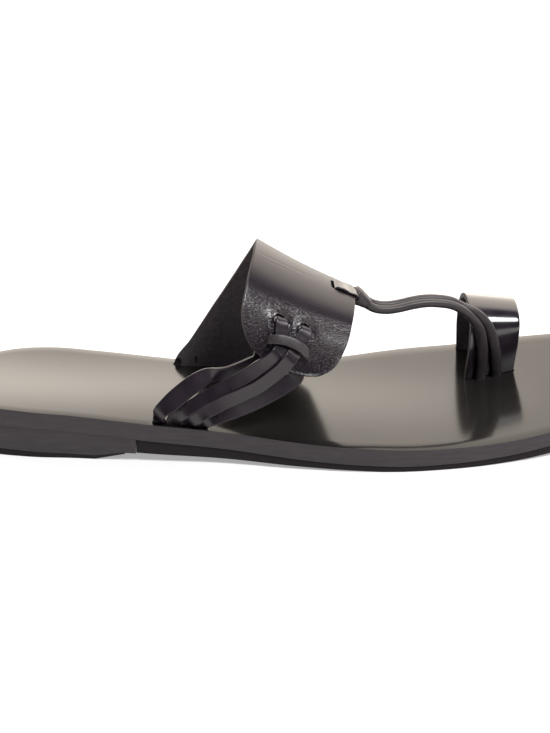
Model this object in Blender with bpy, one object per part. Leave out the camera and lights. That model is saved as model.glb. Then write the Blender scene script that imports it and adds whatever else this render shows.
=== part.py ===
"""Flat leather sandal for a right foot: footbed, outsole, heel, instep band, side laces, toe thong, toe ring.

Sizes below are in millimetres and the model is in metres. Stations run along the foot from the heel end,
x points to the toe, y to the inner (big toe) side and z up from the floor. The origin is on the floor,
in the middle of the sandal.
"""

import math
from collections import namedtuple

import bmesh
import bpy
import numpy as np

MM = 0.001

# Driving dimensions
LENGTH = 285.0
BALL_WIDTH = 107.0
SOLE_THICKNESS = 9.8
FOOTBED_THICKNESS = 7.2
HEEL_RISE = 11.0
TOE_SPRING = 7.7
INSTEP_HEIGHT = 78.4
WALL = 1.8
SEAM = 0.3

# Where the sole changes along its length
HEEL_FLAT_END = 57.0
HEEL_SLOPE_END = 71.0
HEEL_BREAST = 73.6
LIFT_END = 69.5
FOREFOOT_FLAT = (170.0, 205.0)
THINNING_START = 180.0
TOE_THINNING = 1.5

OUTSOLE_INSET = 0.4
WAIST_CLEARANCE = 3.5
BREAST_CLEARANCE = 3.3
LIFT_THICK_BACK = 3.4
LIFT_THICK_FRONT = 1.4
LIFT_TIP = 0.4
EDGE_ROUND = 0.8
TREAD_ROUND = 0.25

# Straps: width and thickness of each cut strip
LACE = (5.6, 2.2)
KEEPER = (4.0, 1.8)
CORD = (3.2, 2.8)
LOOP = (6.0, 1.8)
COLLAR = (7.4, 5.2)
RING_WALL = 2.0
FOOT_DEPTH = 4.6
SLOT_DEPTH = FOOT_DEPTH + SEAM
CORD_GAP = 0.1

# Distance between the sections of each strip
LACE_STEP = 1.7
CORD_STEP = 2.2
BEND_STEP = 1.2

# Plan of the footbed: shares of the length and of the ball width, outer side then inner side
OutlinePoint = namedtuple("OutlinePoint", "station across")
OUTER_SIDE = [
    OutlinePoint(0.014, -0.145),
    OutlinePoint(0.047, -0.243),
    OutlinePoint(0.106, -0.295),
    OutlinePoint(0.175, -0.318),
    OutlinePoint(0.279, -0.364),
    OutlinePoint(0.381, -0.398),
    OutlinePoint(0.482, -0.458),
    OutlinePoint(0.570, -0.492),
    OutlinePoint(0.633, -0.5),
    OutlinePoint(0.689, -0.488),
    OutlinePoint(0.760, -0.454),
    OutlinePoint(0.833, -0.398),
    OutlinePoint(0.893, -0.325),
    OutlinePoint(0.946, -0.222),
    OutlinePoint(0.984, -0.085),
]
INNER_SIDE = [
    OutlinePoint(0.012, 0.135),
    OutlinePoint(0.044, 0.230),
    OutlinePoint(0.086, 0.290),
    OutlinePoint(0.135, 0.311),
    OutlinePoint(0.205, 0.297),
    OutlinePoint(0.279, 0.268),
    OutlinePoint(0.342, 0.246),
    OutlinePoint(0.420, 0.250),
    OutlinePoint(0.500, 0.290),
    OutlinePoint(0.570, 0.356),
    OutlinePoint(0.656, 0.433),
    OutlinePoint(0.720, 0.464),
    OutlinePoint(0.780, 0.485),
    OutlinePoint(0.844, 0.5),
    OutlinePoint(0.911, 0.470),
    OutlinePoint(0.960, 0.385),
    OutlinePoint(0.990, 0.255),
]
HEEL_END = OutlinePoint(0.0, 0.0)
TOE_END = OutlinePoint(1.0, 0.11)

# Side profile of the footbed: share of the heel rise left at each share of the length
RisePoint = namedtuple("RisePoint", "station share")
RISE = [
    RisePoint(0.0, 1.0),
    RisePoint(0.07, 0.935),
    RisePoint(0.14, 0.843),
    RisePoint(0.2, 0.722),
    RisePoint(0.28, 0.565),
    RisePoint(0.42, 0.287),
    RisePoint(0.526, 0.083),
    RisePoint(0.596, 0.0),
    RisePoint(1.0, 0.0),
]

# Sections over the instep: height of the crest, height where the foot is widest, place of the crest,
# and half widths to the outer and the inner side
InstepSection = namedtuple("InstepSection", "station crest widest ridge outer inner")
INSTEP = [
    InstepSection(121.0, INSTEP_HEIGHT, 36.5, 3.0, 41.5, 29.5),
    InstepSection(145.0, INSTEP_HEIGHT - 14.6, 26.0, 2.4, 39.2, 29.5),
    InstepSection(162.0, INSTEP_HEIGHT - 22.9, 18.5, 2.0, 37.5, 29.5),
]
TUCK_TURN = 36.0
BandFoot = namedtuple("BandFoot", "station across")
BAND_FOOT = [BandFoot(89.0, 22.7), BandFoot(132.0, 24.0)]

# Cut edge of the instep band, a row for each place around the foot. Turn is in degrees from the crest,
# negative to the inner side. The last rows round off the ear on the outer side.
BandRow = namedtuple("BandRow", "rear_turn rear front_turn front")
BAND = [
    BandRow(-130.5, 88.6, -130.5, 130.6),
    BandRow(-126.0, 89.7, -126.0, 131.0),
    BandRow(-115.3, 96.9, -117.5, 134.8),
    BandRow(-102.0, 104.1, -104.0, 142.0),
    BandRow(-84.8, 111.3, -84.0, 150.6),
    BandRow(-62.7, 118.2, -62.0, 156.8),
    BandRow(-47.4, 121.5, -47.0, 160.0),
    BandRow(-26.0, 123.8, -26.0, 162.6),
    BandRow(10.0, 122.7, 10.0, 162.6),
    BandRow(41.0, 118.8, 35.0, 160.4),
    BandRow(61.2, 116.4, 53.5, 157.1),
    BandRow(68.2, 117.1, 62.0, 154.6),
    BandRow(73.8, 118.8, 69.5, 151.5),
    BandRow(77.7, 121.7, 75.0, 147.6),
    BandRow(80.5, 129.1, 78.8, 142.9),
    BandRow(81.3, 134.0, 80.8, 138.4),
]
BAND_SLOT = (-121.5, -131.6)
BAND_ROWS = 46
BAND_COLUMNS = 10

# Places on the band: where the laces, the keeper and the thong pass through it
BandPlace = namedtuple("BandPlace", "station turn")
REAR_FOLD = BandPlace(131.3, 54.5)
FRONT_FOLD = BandPlace(141.0, 53.5)
THONG_FOLD = BandPlace(156.2, 5.0)
BEHIND_REAR = [BandPlace(125.0, 73.0), BandPlace(128.8, 66.0), BandPlace(130.8, 59.5)]
BEHIND_FRONT = [BandPlace(139.4, 76.0), BandPlace(140.2, 67.0), BandPlace(140.8, 59.0)]
BELOW_FOLD = (5.0, 11.0)
AHEAD_OF_FOLD = (6.8, 4.0)
SLOT_FULLNESS = 0.6
KEEPER_ENDS = (BandPlace(125.4, 67.8), BandPlace(142.6, 66.3))

# Feet of the laces: one slot along the outer edge of the footbed
LACE_FEET = (-59.6, -53.0, -47.0, -41.2)
LACE_FOOT_ACROSS = -36.6
LACE_FOOT_SLOPE = -0.115
LACE_FOOT_STRAIGHT = 1.2

# Routes of the straps in the air, tilt is the slant of the strip's width below level
Stop = namedtuple("Stop", "x y z tilt")
LACE_1 = [
    Stop(-60.2, -36.4, 20.2, 20.0),
    Stop(-57.0, -36.4, 24.6, 42.0),
    Stop(-51.4, -36.5, 29.0, 52.0),
    Stop(-45.8, -36.5, 32.3, 58.0),
    Stop(-40.0, -36.3, 34.2, 62.0),
    Stop(-30.0, -34.9, 37.0, 58.0),
    Stop(-22.0, -33.6, 42.0, 50.0),
]
LACE_2 = [
    Stop(-13.8, -38.6, 46.5, 35.0),
    Stop(-18.6, -39.8, 41.0, 50.0),
    Stop(-24.0, -40.0, 37.6, 56.0),
    Stop(-33.0, -40.0, 32.0, 58.0),
    Stop(-42.0, -39.5, 27.2, 56.0),
    Stop(-47.4, -38.5, 23.4, 50.0),
    Stop(-51.6, -37.7, 19.8, 28.0),
]
LACE_3 = [
    Stop(-8.4, -38.0, 42.5, 30.0),
    Stop(-12.7, -39.4, 37.2, 45.0),
    Stop(-18.6, -40.0, 32.7, 55.0),
    Stop(-26.3, -40.3, 29.1, 60.0),
    Stop(-35.3, -40.0, 25.2, 58.0),
    Stop(-41.8, -39.1, 21.6, 50.0),
    Stop(-45.8, -38.3, 18.9, 28.0),
]
LACE_4 = [
    Stop(-4.2, -33.5, 31.8, 40.0),
    Stop(-10.2, -35.0, 27.7, 50.0),
    Stop(-17.1, -36.5, 24.5, 58.0),
    Stop(-26.2, -38.0, 21.9, 62.0),
    Stop(-35.0, -38.7, 19.6, 56.0),
    Stop(-39.8, -38.6, 18.0, 28.0),
]
COLLAR_ROUTE = [(20.4, 1.3, 53.0), (22.4, 1.5, 51.6), (24.6, 1.7, 49.9)]
THONG_BRIDGE = [
    (22.9, 1.6, 51.2),
    (28.9, 2.2, 47.4),
    (33.5, 3.0, 46.4),
    (38.9, 4.2, 46.5),
    (44.0, 5.3, 47.2),
    (50.0, 6.6, 47.5),
    (55.5, 7.6, 46.9),
    (61.2, 8.6, 45.4),
    (65.6, 9.0, 42.9),
]
NEAR_CORD_DROP = [
    (69.4, 7.9, 39.2),
    (72.4, 8.6, 34.4),
    (74.0, 9.9, 28.0),
    (74.6, 10.8, 21.0),
    (74.4, 11.8, 14.5),
]
FAR_CORD_DROP = [
    (71.8, 10.8, 40.2),
    (76.2, 10.7, 35.6),
    (79.4, 11.8, 29.0),
    (81.3, 12.2, 22.0),
    (82.1, 13.7, 15.0),
]
NEAR_CORD_FOOT = (74.2, 12.8)
FAR_CORD_FOOT = (82.4, 15.1)

# Outer face of the toe ring around the toe, at its rear and front edge. Height is above the footbed,
# and ahead moves a row of the ring towards the toe.
RingRow = namedtuple("RingRow", "rear_across rear_height front_across front_height ahead")
RING_REAR = 68.6
RING_FRONT = 89.5
RING = [
    RingRow(14.3, -FOOT_DEPTH, 19.6, -FOOT_DEPTH, 0.0),
    RingRow(13.6, 0.0, 18.9, 0.0, 0.0),
    RingRow(12.3, 14.5, 16.0, 14.0, 1.3),
    RingRow(15.6, 25.0, 18.6, 22.4, 1.7),
    RingRow(29.5, 31.3, 31.0, 27.4, 1.2),
    RingRow(43.4, 25.0, 43.4, 22.0, 0.4),
    RingRow(47.2, 14.5, 46.4, 13.0, 0.0),
    RingRow(46.4, 0.0, 45.4, 0.0, 0.0),
    RingRow(45.8, -FOOT_DEPTH, 44.8, -FOOT_DEPTH, 0.0),
]
RING_ROWS = 40
RING_COLUMNS = 4

# Finishes: linear colour and roughness
LEATHER_TOP = ((0.11, 0.10, 0.095), 0.30)
LEATHER_STRAP = ((0.012, 0.009, 0.012), 0.32)
HEEL_EDGE = ((0.05, 0.045, 0.05), 0.55)
RUBBER = ((0.018, 0.015, 0.017), 0.7)


def smooth(at, knots, values):
    """A smooth curve through a table: cubic pieces whose slopes come from the neighbouring rows."""
    at = np.asarray(at, float)
    knots = np.asarray(knots, float)
    values = np.asarray(values, float)
    steps = np.diff(knots)
    slopes = np.diff(values, axis=0) / (steps if values.ndim == 1 else steps[:, None])
    weight = steps[1:] / (steps[1:] + steps[:-1])
    weight = weight if values.ndim == 1 else weight[:, None]
    inner = weight * slopes[:-1] + (1 - weight) * slopes[1:]
    tangents = np.concatenate([slopes[:1], inner, slopes[-1:]])
    span = np.clip(np.searchsorted(knots, at, side="right") - 1, 0, len(knots) - 2)
    length = steps[span]
    t = (at - knots[span]) / length
    if values.ndim > 1:
        length = length[..., None]
        t = t[..., None]
    start = (1 + 2 * t) * (1 - t) ** 2 * values[span] + t * (1 - t) ** 2 * length * tangents[span]
    return start + t ** 2 * (3 - 2 * t) * values[span + 1] - t ** 2 * (1 - t) * length * tangents[span + 1]


def along(points, spacing):
    """Evenly spaced points on a smooth curve through the given ones."""
    points = np.asarray(points, float)
    chords = np.linalg.norm(np.diff(points[:, :3], axis=0), axis=1)
    reach = np.concatenate([[0.0], np.cumsum(chords)])
    count = max(3, int(round(reach[-1] / spacing)) + 1)
    return smooth(np.linspace(0.0, reach[-1], count), reach, points)


def column(rows, name):
    return np.array([getattr(row, name) for row in rows])


def unit(vectors):
    return vectors / np.linalg.norm(vectors, axis=-1, keepdims=True)


# The sole's outline and profile


def closed_outline():
    """Dense plan of the footbed, from the heel end along the outer side to the toe and back."""
    points = [HEEL_END, *OUTER_SIDE, TOE_END, *reversed(INNER_SIDE), HEEL_END]
    plan = np.array([(p.station * LENGTH, p.across * BALL_WIDTH) for p in points])
    overlap = 3
    looped = np.concatenate([plan[-1 - overlap:-1], plan, plan[1:1 + overlap]])
    dense = along(looped, 0.5)
    first = np.argmin(np.linalg.norm(dense[:len(dense) // 4] - plan[0], axis=1))
    last = len(dense) // 2 + np.argmin(np.linalg.norm(dense[len(dense) // 2:] - plan[0], axis=1))
    return dense[first:last + 1]


PLAN = closed_outline()
TOE_INDEX = int(np.argmax(PLAN[:, 0]))
PLAN_ENDS = (PLAN[:, 0].min(), PLAN[:, 0].max())


def side_across(side, station):
    half = PLAN[:TOE_INDEX + 1] if side == "outer" else PLAN[:TOE_INDEX - 1:-1]
    return np.interp(station, half[:, 0], half[:, 1])


def side_points(side, stations, inset):
    """Points of one side of the outline, moved inwards square to it."""
    step = 0.05
    across = side_across(side, stations)
    slope = (side_across(side, stations + step) - side_across(side, stations - step)) / (2 * step)
    length = np.sqrt(1 + slope ** 2)
    inwards = 1.0 if side == "outer" else -1.0
    return np.stack([stations - inwards * slope * inset / length, across + inwards * inset / length], 1)


def footbed_top(station):
    rise = smooth(np.asarray(station) / LENGTH, column(RISE, "station"), column(RISE, "share"))
    toe = np.clip((np.asarray(station) - FOREFOOT_FLAT[1]) / (LENGTH - FOREFOOT_FLAT[1]), 0, None)
    return SOLE_THICKNESS + HEEL_RISE * rise + TOE_SPRING * toe ** 2


def footbed_underside(station):
    """The footbed keeps its thickness to the ball and gets thinner towards the toe."""
    toe = np.clip((np.asarray(station) - THINNING_START) / (LENGTH - THINNING_START), 0, None)
    return footbed_top(station) - FOOTBED_THICKNESS + TOE_THINNING * toe * (2 - toe)


def tread(station):
    """Underside of the outsole: clear of the floor under the waist and the toe."""
    waist = (FOREFOOT_FLAT[0] - np.asarray(station)) / (FOREFOOT_FLAT[0] - HEEL_BREAST)
    toe = (np.asarray(station) - FOREFOOT_FLAT[1]) / (LENGTH - FOREFOOT_FLAT[1])
    return WAIST_CLEARANCE * np.clip(waist, 0, None) + TOE_SPRING * np.clip(toe, 0, None) ** 2


def lift_underside(station):
    knots = [0.0, HEEL_FLAT_END, HEEL_SLOPE_END]
    return np.interp(station, knots, [0.0, 0.0, BREAST_CLEARANCE])


def lift_top(station):
    tip = lift_underside(LIFT_END) + LIFT_TIP
    return np.interp(station, [0.0, HEEL_FLAT_END, LIFT_END], [LIFT_THICK_BACK, LIFT_THICK_FRONT, tip])


def heel_underside(station):
    return np.where(np.asarray(station) < LIFT_END, lift_top(station) + SEAM, BREAST_CLEARANCE)


def sole_stations(first, last, extra=()):
    """Cross sections, closer together towards the round ends."""
    count = 44
    turn = np.linspace(0.0, math.pi, count)
    ends = (PLAN_ENDS[0] + 0.06, PLAN_ENDS[1] - 0.06)
    spread = ends[0] + (ends[1] - ends[0]) * (1 - np.cos(turn)) / 2
    near = 2.0
    fixed = np.array([s for s in (first, last, *extra) if ends[0] < s < ends[1]])
    free = [s for s in spread if first < s < last and (not len(fixed) or np.abs(fixed - s).min() > near)]
    return np.sort(np.concatenate([free, fixed]))


# Mesh building


def finish(name, mesh_data, finish_of, angle=35.0):
    bmesh.ops.recalc_face_normals(mesh_data, faces=mesh_data.faces)
    mesh = bpy.data.meshes.new(name)
    mesh_data.to_mesh(mesh)
    mesh_data.free()
    mesh.shade_smooth()
    mesh.set_sharp_from_angle(angle=math.radians(angle))
    piece = bpy.data.objects.new(name, mesh)
    bpy.context.collection.objects.link(piece)
    if finish_of:
        mesh.materials.append(finish_of)
    return piece


def make_finish(name, colour, roughness):
    material = bpy.data.materials.new(name)
    material.use_nodes = True
    shader = material.node_tree.nodes["Principled BSDF"]
    shader.inputs["Base Color"].default_value = (*colour, 1.0)
    shader.inputs["Roughness"].default_value = roughness
    return material


def as_tool(piece):
    piece.hide_render = True
    piece.display_type = "WIRE"
    return piece


def combine(piece, tools, operation):
    for tool in tools:
        step = piece.modifiers.new(tool.name, "BOOLEAN")
        step.operation = operation
        step.solver = "EXACT"
        step.object = as_tool(tool)


def grid_faces(mesh_data, grid):
    for upper, lower in zip(grid[:-1], grid[1:]):
        for i in range(len(upper) - 1):
            mesh_data.faces.new((upper[i], upper[i + 1], lower[i + 1], lower[i]))


def add_points(mesh_data, points):
    return [mesh_data.verts.new(point) for point in np.asarray(points, float) * MM]


def slab(name, stations, levels, material):
    """A layer of the sole. Each level is an inset from the outline and a height for each station."""
    mesh_data = bmesh.new()
    rims = {"outer": [], "inner": []}
    for inset, height in levels:
        for side, rim in rims.items():
            plan = side_points(side, stations, inset)
            points = np.column_stack([plan[:, 0] - LENGTH / 2, plan[:, 1], height(plan[:, 0])])
            rim.append(add_points(mesh_data, points))
    for rim in rims.values():
        grid_faces(mesh_data, rim)
    for level in (0, -1):
        grid_faces(mesh_data, [rims["outer"][level], rims["inner"][level]])
    for end in (0, -1):
        grid_faces(mesh_data, [[rim[end] for rim in rims[side]] for side in rims])
    return finish(name, mesh_data, material)


def sheet(name, outer, inner, material):
    """A bent sheet between two grids of points, closed along its cut edges."""
    mesh_data = bmesh.new()
    front = [add_points(mesh_data, row) for row in outer]
    back = [add_points(mesh_data, row) for row in inner]
    grid_faces(mesh_data, front)
    grid_faces(mesh_data, back)
    for edge in (0, -1):
        grid_faces(mesh_data, [front[edge], back[edge]])
        grid_faces(mesh_data, [[row[edge] for row in front], [row[edge] for row in back]])
    return finish(name, mesh_data, material)


def strip(name, path, across, size, material=None, ease=0.0):
    """A strip of leather along a path: a flat section with broken corners, wide in the across direction."""
    half_width = size[0] / 2 + ease
    half_thick = size[1] / 2 + ease
    corner = 0.3 * size[1]
    profile = [
        (half_width - corner, half_thick), (half_width, half_thick - corner),
        (half_width, corner - half_thick), (half_width - corner, -half_thick),
        (corner - half_width, -half_thick), (-half_width, corner - half_thick),
        (-half_width, half_thick - corner), (corner - half_width, half_thick),
    ]
    ahead = unit(np.gradient(path, axis=0))
    wide = unit(across - ahead * np.sum(across * ahead, axis=1, keepdims=True))
    thick = np.cross(ahead, wide)
    mesh_data = bmesh.new()
    rings = []
    for centre, w, t in zip(path, wide, thick):
        rings.append(add_points(mesh_data, [centre + w * a + t * b for a, b in profile]))
    for ring in rings:
        ring.append(ring[0])
    grid_faces(mesh_data, rings)
    for ring in (rings[0], rings[-1]):
        mesh_data.faces.new(ring[:-1])
    return finish(name, mesh_data, material)


def prism(name, outline, depth, material=None):
    """A straight block from a flat outline, pushed along depth."""
    mesh_data = bmesh.new()
    near = add_points(mesh_data, outline)
    far = add_points(mesh_data, np.asarray(outline) + depth)
    mesh_data.faces.new(near)
    mesh_data.faces.new(reversed(far))
    grid_faces(mesh_data, [[*near, near[0]], [*far, far[0]]])
    return finish(name, mesh_data, material)


# The instep band


def instep(station):
    """Section over the instep at a station, from the parabola through the three given sections."""
    knots = column(INSTEP, "station")
    values = {}
    for name in InstepSection._fields[1:]:
        values[name] = np.polyval(np.polyfit(knots, column(INSTEP, name), 2), station)
    return values


def band_surface(station, turn):
    """A point on the outer face of the band. Past level on the inner side it tucks in to the footbed."""
    section = instep(station)
    angle = math.radians(max(turn, -90.0))
    half = section["outer"] if turn > 0 else section["inner"]
    y = section["ridge"] - half * math.sin(angle)
    z = section["widest"] + (section["crest"] - section["widest"]) * math.cos(angle)
    if turn < -90.0:
        down = (-turn - 90.0) / TUCK_TURN
        foot = np.interp(station, column(BAND_FOOT, "station"), column(BAND_FOOT, "across"))
        y -= (y - foot) * (1 - math.cos(down * math.pi / 2))
        z -= down * (z - footbed_top(station))
    return np.array([station - LENGTH / 2, y, z])


def band_frame(station, turn):
    """A point on the band, the way out of it, the way down its girth and the way to the toe."""
    step = 0.5
    point = band_surface(station, turn)
    down = unit(band_surface(station, turn + step) - band_surface(station, turn - step))
    toe = unit(band_surface(station + step, turn) - band_surface(station - step, turn))
    return point, unit(np.cross(down, toe)), down, toe


def on_band(station, turn, lift):
    point, out, _, _ = band_frame(station, turn)
    return point + out * lift


def band_grid(rows, lift, columns=BAND_COLUMNS, margin=0.0):
    grid = []
    for row in rows:
        shares = np.linspace(0.0, 1.0, columns)
        stations = row[1] - margin + (row[3] - row[1] + 2 * margin) * shares
        turns = row[0] + (row[2] - row[0]) * shares
        grid.append(np.array([on_band(s, t, lift) for s, t in zip(stations, turns)]))
    return grid


def band_rows():
    """The band's rows, spread evenly along its girth."""
    table = np.array(BAND)
    middle = [band_surface((r.rear + r.front) / 2, (r.rear_turn + r.front_turn) / 2) for r in BAND]
    edge = [band_surface(r.rear, r.rear_turn) for r in BAND]
    steps = np.linalg.norm(np.diff(middle, axis=0), axis=1) + np.linalg.norm(np.diff(edge, axis=0), axis=1)
    reach = np.concatenate([[0.0], np.cumsum(steps)])
    return smooth(np.linspace(0.0, reach[-1], BAND_ROWS), reach, table)


def arch_slot(name, place, strip_size):
    """A slot with a round top in the band above a fold, with room for the strip that turns over in it."""
    point, out, down, toe = band_frame(place.station, place.turn)
    half = strip_size[0] / 2 + 1.5 * SEAM
    height = WALL / 2 + strip_size[1] + 3 * SEAM
    level = 0.4 * height
    outline = [point - toe * half, point + toe * half]
    for turn in np.linspace(0.0, math.pi, 9):
        along_slot = math.copysign(abs(math.cos(turn)) ** SLOT_FULLNESS, math.cos(turn))
        up_slot = math.sin(turn) ** SLOT_FULLNESS
        outline.append(point + toe * half * along_slot - down * (level + (height - level) * up_slot))
    reach = 3 * WALL
    return prism(name, np.array(outline) + out * reach, -out * 2 * reach)


def fold_over(place, strip_size, back):
    """Half a turn over the band's edge in a slot, from its inner face to its outer face."""
    point, out, _, _ = band_frame(place.station, place.turn)
    middle = point - out * WALL / 2
    radius = WALL / 2 + SEAM + strip_size[1] / 2
    turns = np.radians([-90, -45, 0, 45, 90])
    return [middle + out * radius * math.sin(t) + back * radius * math.cos(t) for t in turns]


def make_band(material):
    rows = band_rows()
    return sheet("instep_band", band_grid(rows, 0.0), band_grid(rows, -WALL), material)


def band_foot_slot():
    """The room in the footbed for the inner end of the band."""
    turns = np.linspace(*BAND_SLOT, 6)
    table = np.array(BAND)[::-1]
    rows = []
    for turn in turns:
        rear = np.interp(-turn, -table[:, 0], table[:, 1])
        front = np.interp(-turn, -table[:, 2], table[:, 3])
        rows.append((turn, rear, turn, front))
    outer = band_grid(rows, SEAM, margin=SEAM)
    inner = band_grid(rows, -WALL - SEAM, margin=SEAM)
    return sheet("band_foot_slot", outer, inner, None)


# Laces, keeper, thong and ring


def lace_foot(x):
    """A lace's end, straight down into its slot in the footbed."""
    y = LACE_FOOT_ACROSS + LACE_FOOT_SLOPE * (x - LACE_FEET[0])
    level = footbed_top(x + LENGTH / 2)
    return [Stop(x, y, level + height, 0.0) for height in (-FOOT_DEPTH, -FOOT_DEPTH / 2, LACE_FOOT_STRAIGHT)]


def in_air(stops):
    """Places of a strip's middle and the direction of its width, slanted by the tilt of each stop."""
    rows = []
    for stop in stops:
        level, drop = math.cos(math.radians(stop.tilt)), math.sin(math.radians(stop.tilt))
        rows.append((stop.x, stop.y, stop.z, level, LACE_FOOT_SLOPE * level, -drop))
    return rows


def lace_route(inner_foot, inner_run, behind_ear, fold, outer_run, outer_foot):
    """A lace from its inner foot, up behind the ear, over in its slot and down outside to its outer foot."""
    behind = -(WALL + SEAM + LACE[1] / 2)
    outside = SEAM + LACE[1] / 2
    _, _, down, toe = band_frame(*fold)
    rows = in_air(lace_foot(inner_foot) + inner_run)
    rows += [(*on_band(*place, behind), *toe) for place in behind_ear]
    rows += [(*point, *toe) for point in fold_over(fold, LACE, -down)]
    rows += [(*on_band(fold.station, fold.turn + more, outside), *toe) for more in BELOW_FOLD]
    rows += in_air(outer_run + lace_foot(outer_foot)[::-1])
    route = along(rows, LACE_STEP)
    return route[:, :3], route[:, 3:]


def keeper_route():
    """The keeper goes through the ear at both ends and lies across the two laces."""
    over = LACE[1] + SEAM + KEEPER[1] / 2 - 0.2
    rear, front = KEEPER_ENDS
    shares_lifts = [
        (-0.02, -WALL - 1.6), (0.0, -WALL / 2), (0.06, 1.2), (0.16, over),
        (0.5, over), (0.84, over), (0.94, 1.2), (1.0, -WALL / 2), (1.02, -WALL - 1.6),
    ]
    stops = []
    for share, lift in shares_lifts:
        station = rear.station + (front.station - rear.station) * share
        turn = rear.turn + (front.turn - rear.turn) * share
        stops.append(on_band(station, turn, lift))
    path = along(stops, BEND_STEP)
    _, _, down, _ = band_frame((rear.station + front.station) / 2, rear.turn)
    return path, np.tile(down, (len(path), 1))


def make_laces(material):
    rear = lace_route(LACE_FEET[0], LACE_1, BEHIND_REAR, REAR_FOLD, LACE_2, LACE_FEET[1])
    front = lace_route(LACE_FEET[3], LACE_4[::-1], BEHIND_FRONT, FRONT_FOLD, LACE_3, LACE_FEET[2])
    keeper = keeper_route()
    laces = strip("side_laces", *rear, LACE, material)
    combine(laces, [strip("front_lace", *front, LACE), strip("keeper", *keeper, KEEPER)], "UNION")
    return laces


def keeper_slots():
    """The two slots that the keeper's ends go through."""
    path, across = keeper_route()
    ends = []
    for name, part in (("keeper_slot_rear", slice(0, 6)), ("keeper_slot_front", slice(-6, None))):
        ends.append(strip(name, path[part], across[part], KEEPER, ease=SEAM / 2))
    return ends


def lace_slot():
    """One long slot in the footbed for the four ends of the laces."""
    half = LACE[1] / 2 + SEAM
    side_room = LACE[0] / 2 + SEAM
    outline = []
    for x, sign in ((LACE_FEET[0] - side_room, 1), (LACE_FEET[3] + side_room, 1),
                    (LACE_FEET[3] + side_room, -1), (LACE_FEET[0] - side_room, -1)):
        y = LACE_FOOT_ACROSS + LACE_FOOT_SLOPE * (x - LACE_FEET[0])
        outline.append((x, y + sign * half, footbed_top(x + LENGTH / 2) - SLOT_DEPTH))
    return prism("lace_slot", outline, np.array([0.0, 0.0, 4 * SLOT_DEPTH]))


def cord_foot(place):
    level = footbed_top(place[0] + LENGTH / 2)
    return [(*place, level), (*place, level - FOOT_DEPTH)]


def cord_routes():
    """The two cords side by side to the toe, then down the ring's outer face one behind the other."""
    apart = np.array([0.0, (CORD[0] + CORD_GAP) / 2, 0.0])
    bridge = np.array(THONG_BRIDGE)
    near = np.concatenate([bridge - apart, NEAR_CORD_DROP, cord_foot(NEAR_CORD_FOOT)])
    far = np.concatenate([bridge + apart, FAR_CORD_DROP, cord_foot(FAR_CORD_FOOT)])
    return along(near, CORD_STEP), along(far, CORD_STEP)


def level_across(path):
    return np.tile([0.0, 1.0, 0.0], (len(path), 1))


def thong_loop_route():
    """The loop around the band's front edge: inside it, back through the slot and out along its face."""
    _, _, down, toe = band_frame(*THONG_FOLD)
    outside = SEAM + LOOP[1] / 2
    inside = -(WALL + SEAM + LOOP[1] / 2)
    collar = (*COLLAR_ROUTE[1], 0.0, 1.0, 0.0)
    front = [THONG_FOLD.station + more for more in AHEAD_OF_FOLD]
    stops = [on_band(s, THONG_FOLD.turn, inside) for s in front]
    stops += fold_over(THONG_FOLD, LOOP, -toe)
    stops += [on_band(s, THONG_FOLD.turn, outside) for s in front[::-1]]
    route = along([collar, *[(*stop, *-down) for stop in stops], collar], BEND_STEP)
    return route[:, :3], route[:, 3:]


def thong_slot():
    point, out, down, toe = band_frame(*THONG_FOLD)
    half = LOOP[0] / 2 + SEAM
    back = WALL / 2 + 2 * SEAM + LOOP[1]
    corners = [(-half, 0.0), (half, 0.0), (half, 0.85 * back), (0.8 * half, back), (-0.8 * half, back),
               (-half, 0.85 * back)]
    outline = [point + down * a - toe * b for a, b in corners]
    reach = 3 * WALL
    return prism("thong_slot", np.array(outline) + out * reach, -out * 2 * reach)


def make_thong(material):
    near, far = cord_routes()
    loop, across = thong_loop_route()
    half = len(loop) // 2 + 1
    collar = along(COLLAR_ROUTE, BEND_STEP)
    thong = strip("toe_thong", near, level_across(near), CORD, material)
    tools = [
        strip("far_cord", far, level_across(far), CORD),
        strip("loop_inside", loop[:half], across[:half], LOOP),
        strip("loop_outside", loop[half - 2:], across[half - 2:], LOOP),
        strip("collar", collar, level_across(collar), COLLAR),
    ]
    combine(thong, tools, "UNION")
    return thong


def cord_holes():
    holes = []
    for name, place in (("near_cord_hole", NEAR_CORD_FOOT), ("far_cord_hole", FAR_CORD_FOOT)):
        level = footbed_top(place[0] + LENGTH / 2)
        path = np.array([(*place, level - SLOT_DEPTH), (*place, level), (*place, level + SLOT_DEPTH)])
        holes.append(strip(name, path, level_across(path), CORD, ease=SEAM))
    return holes


def ring_edges(rows):
    """Rear and front edge of the ring's outer face."""
    rear_level = footbed_top(RING_REAR + LENGTH / 2)
    front_level = footbed_top(RING_FRONT + LENGTH / 2)
    rear = [(RING_REAR + r.ahead, r.rear_across, rear_level + r.rear_height) for r in rows]
    front = [(RING_FRONT + r.ahead, r.front_across, front_level + r.front_height) for r in rows]
    return np.array(rear), np.array(front)


def ring_grid(rear, front, lift):
    """A sheet between the two edges, moved out of the ring's face by lift."""
    shares = np.linspace(0.0, 1.0, RING_COLUMNS)[None, :, None]
    points = rear[:, None] + (front - rear)[:, None] * shares
    around = np.gradient(points, axis=0)
    lengthwise = np.gradient(points, axis=1)
    return points + unit(np.cross(lengthwise, around)) * lift


def make_ring(material):
    rear, front = ring_edges(RING)
    reach = np.concatenate([[0.0], np.cumsum(np.linalg.norm(np.diff(rear, axis=0), axis=1))])
    places = np.linspace(0.0, reach[-1], RING_ROWS)
    rear = smooth(places, reach, rear)
    front = smooth(places, reach, front)
    return sheet("toe_ring", ring_grid(rear, front, 0.0), ring_grid(rear, front, -RING_WALL), material)


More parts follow.
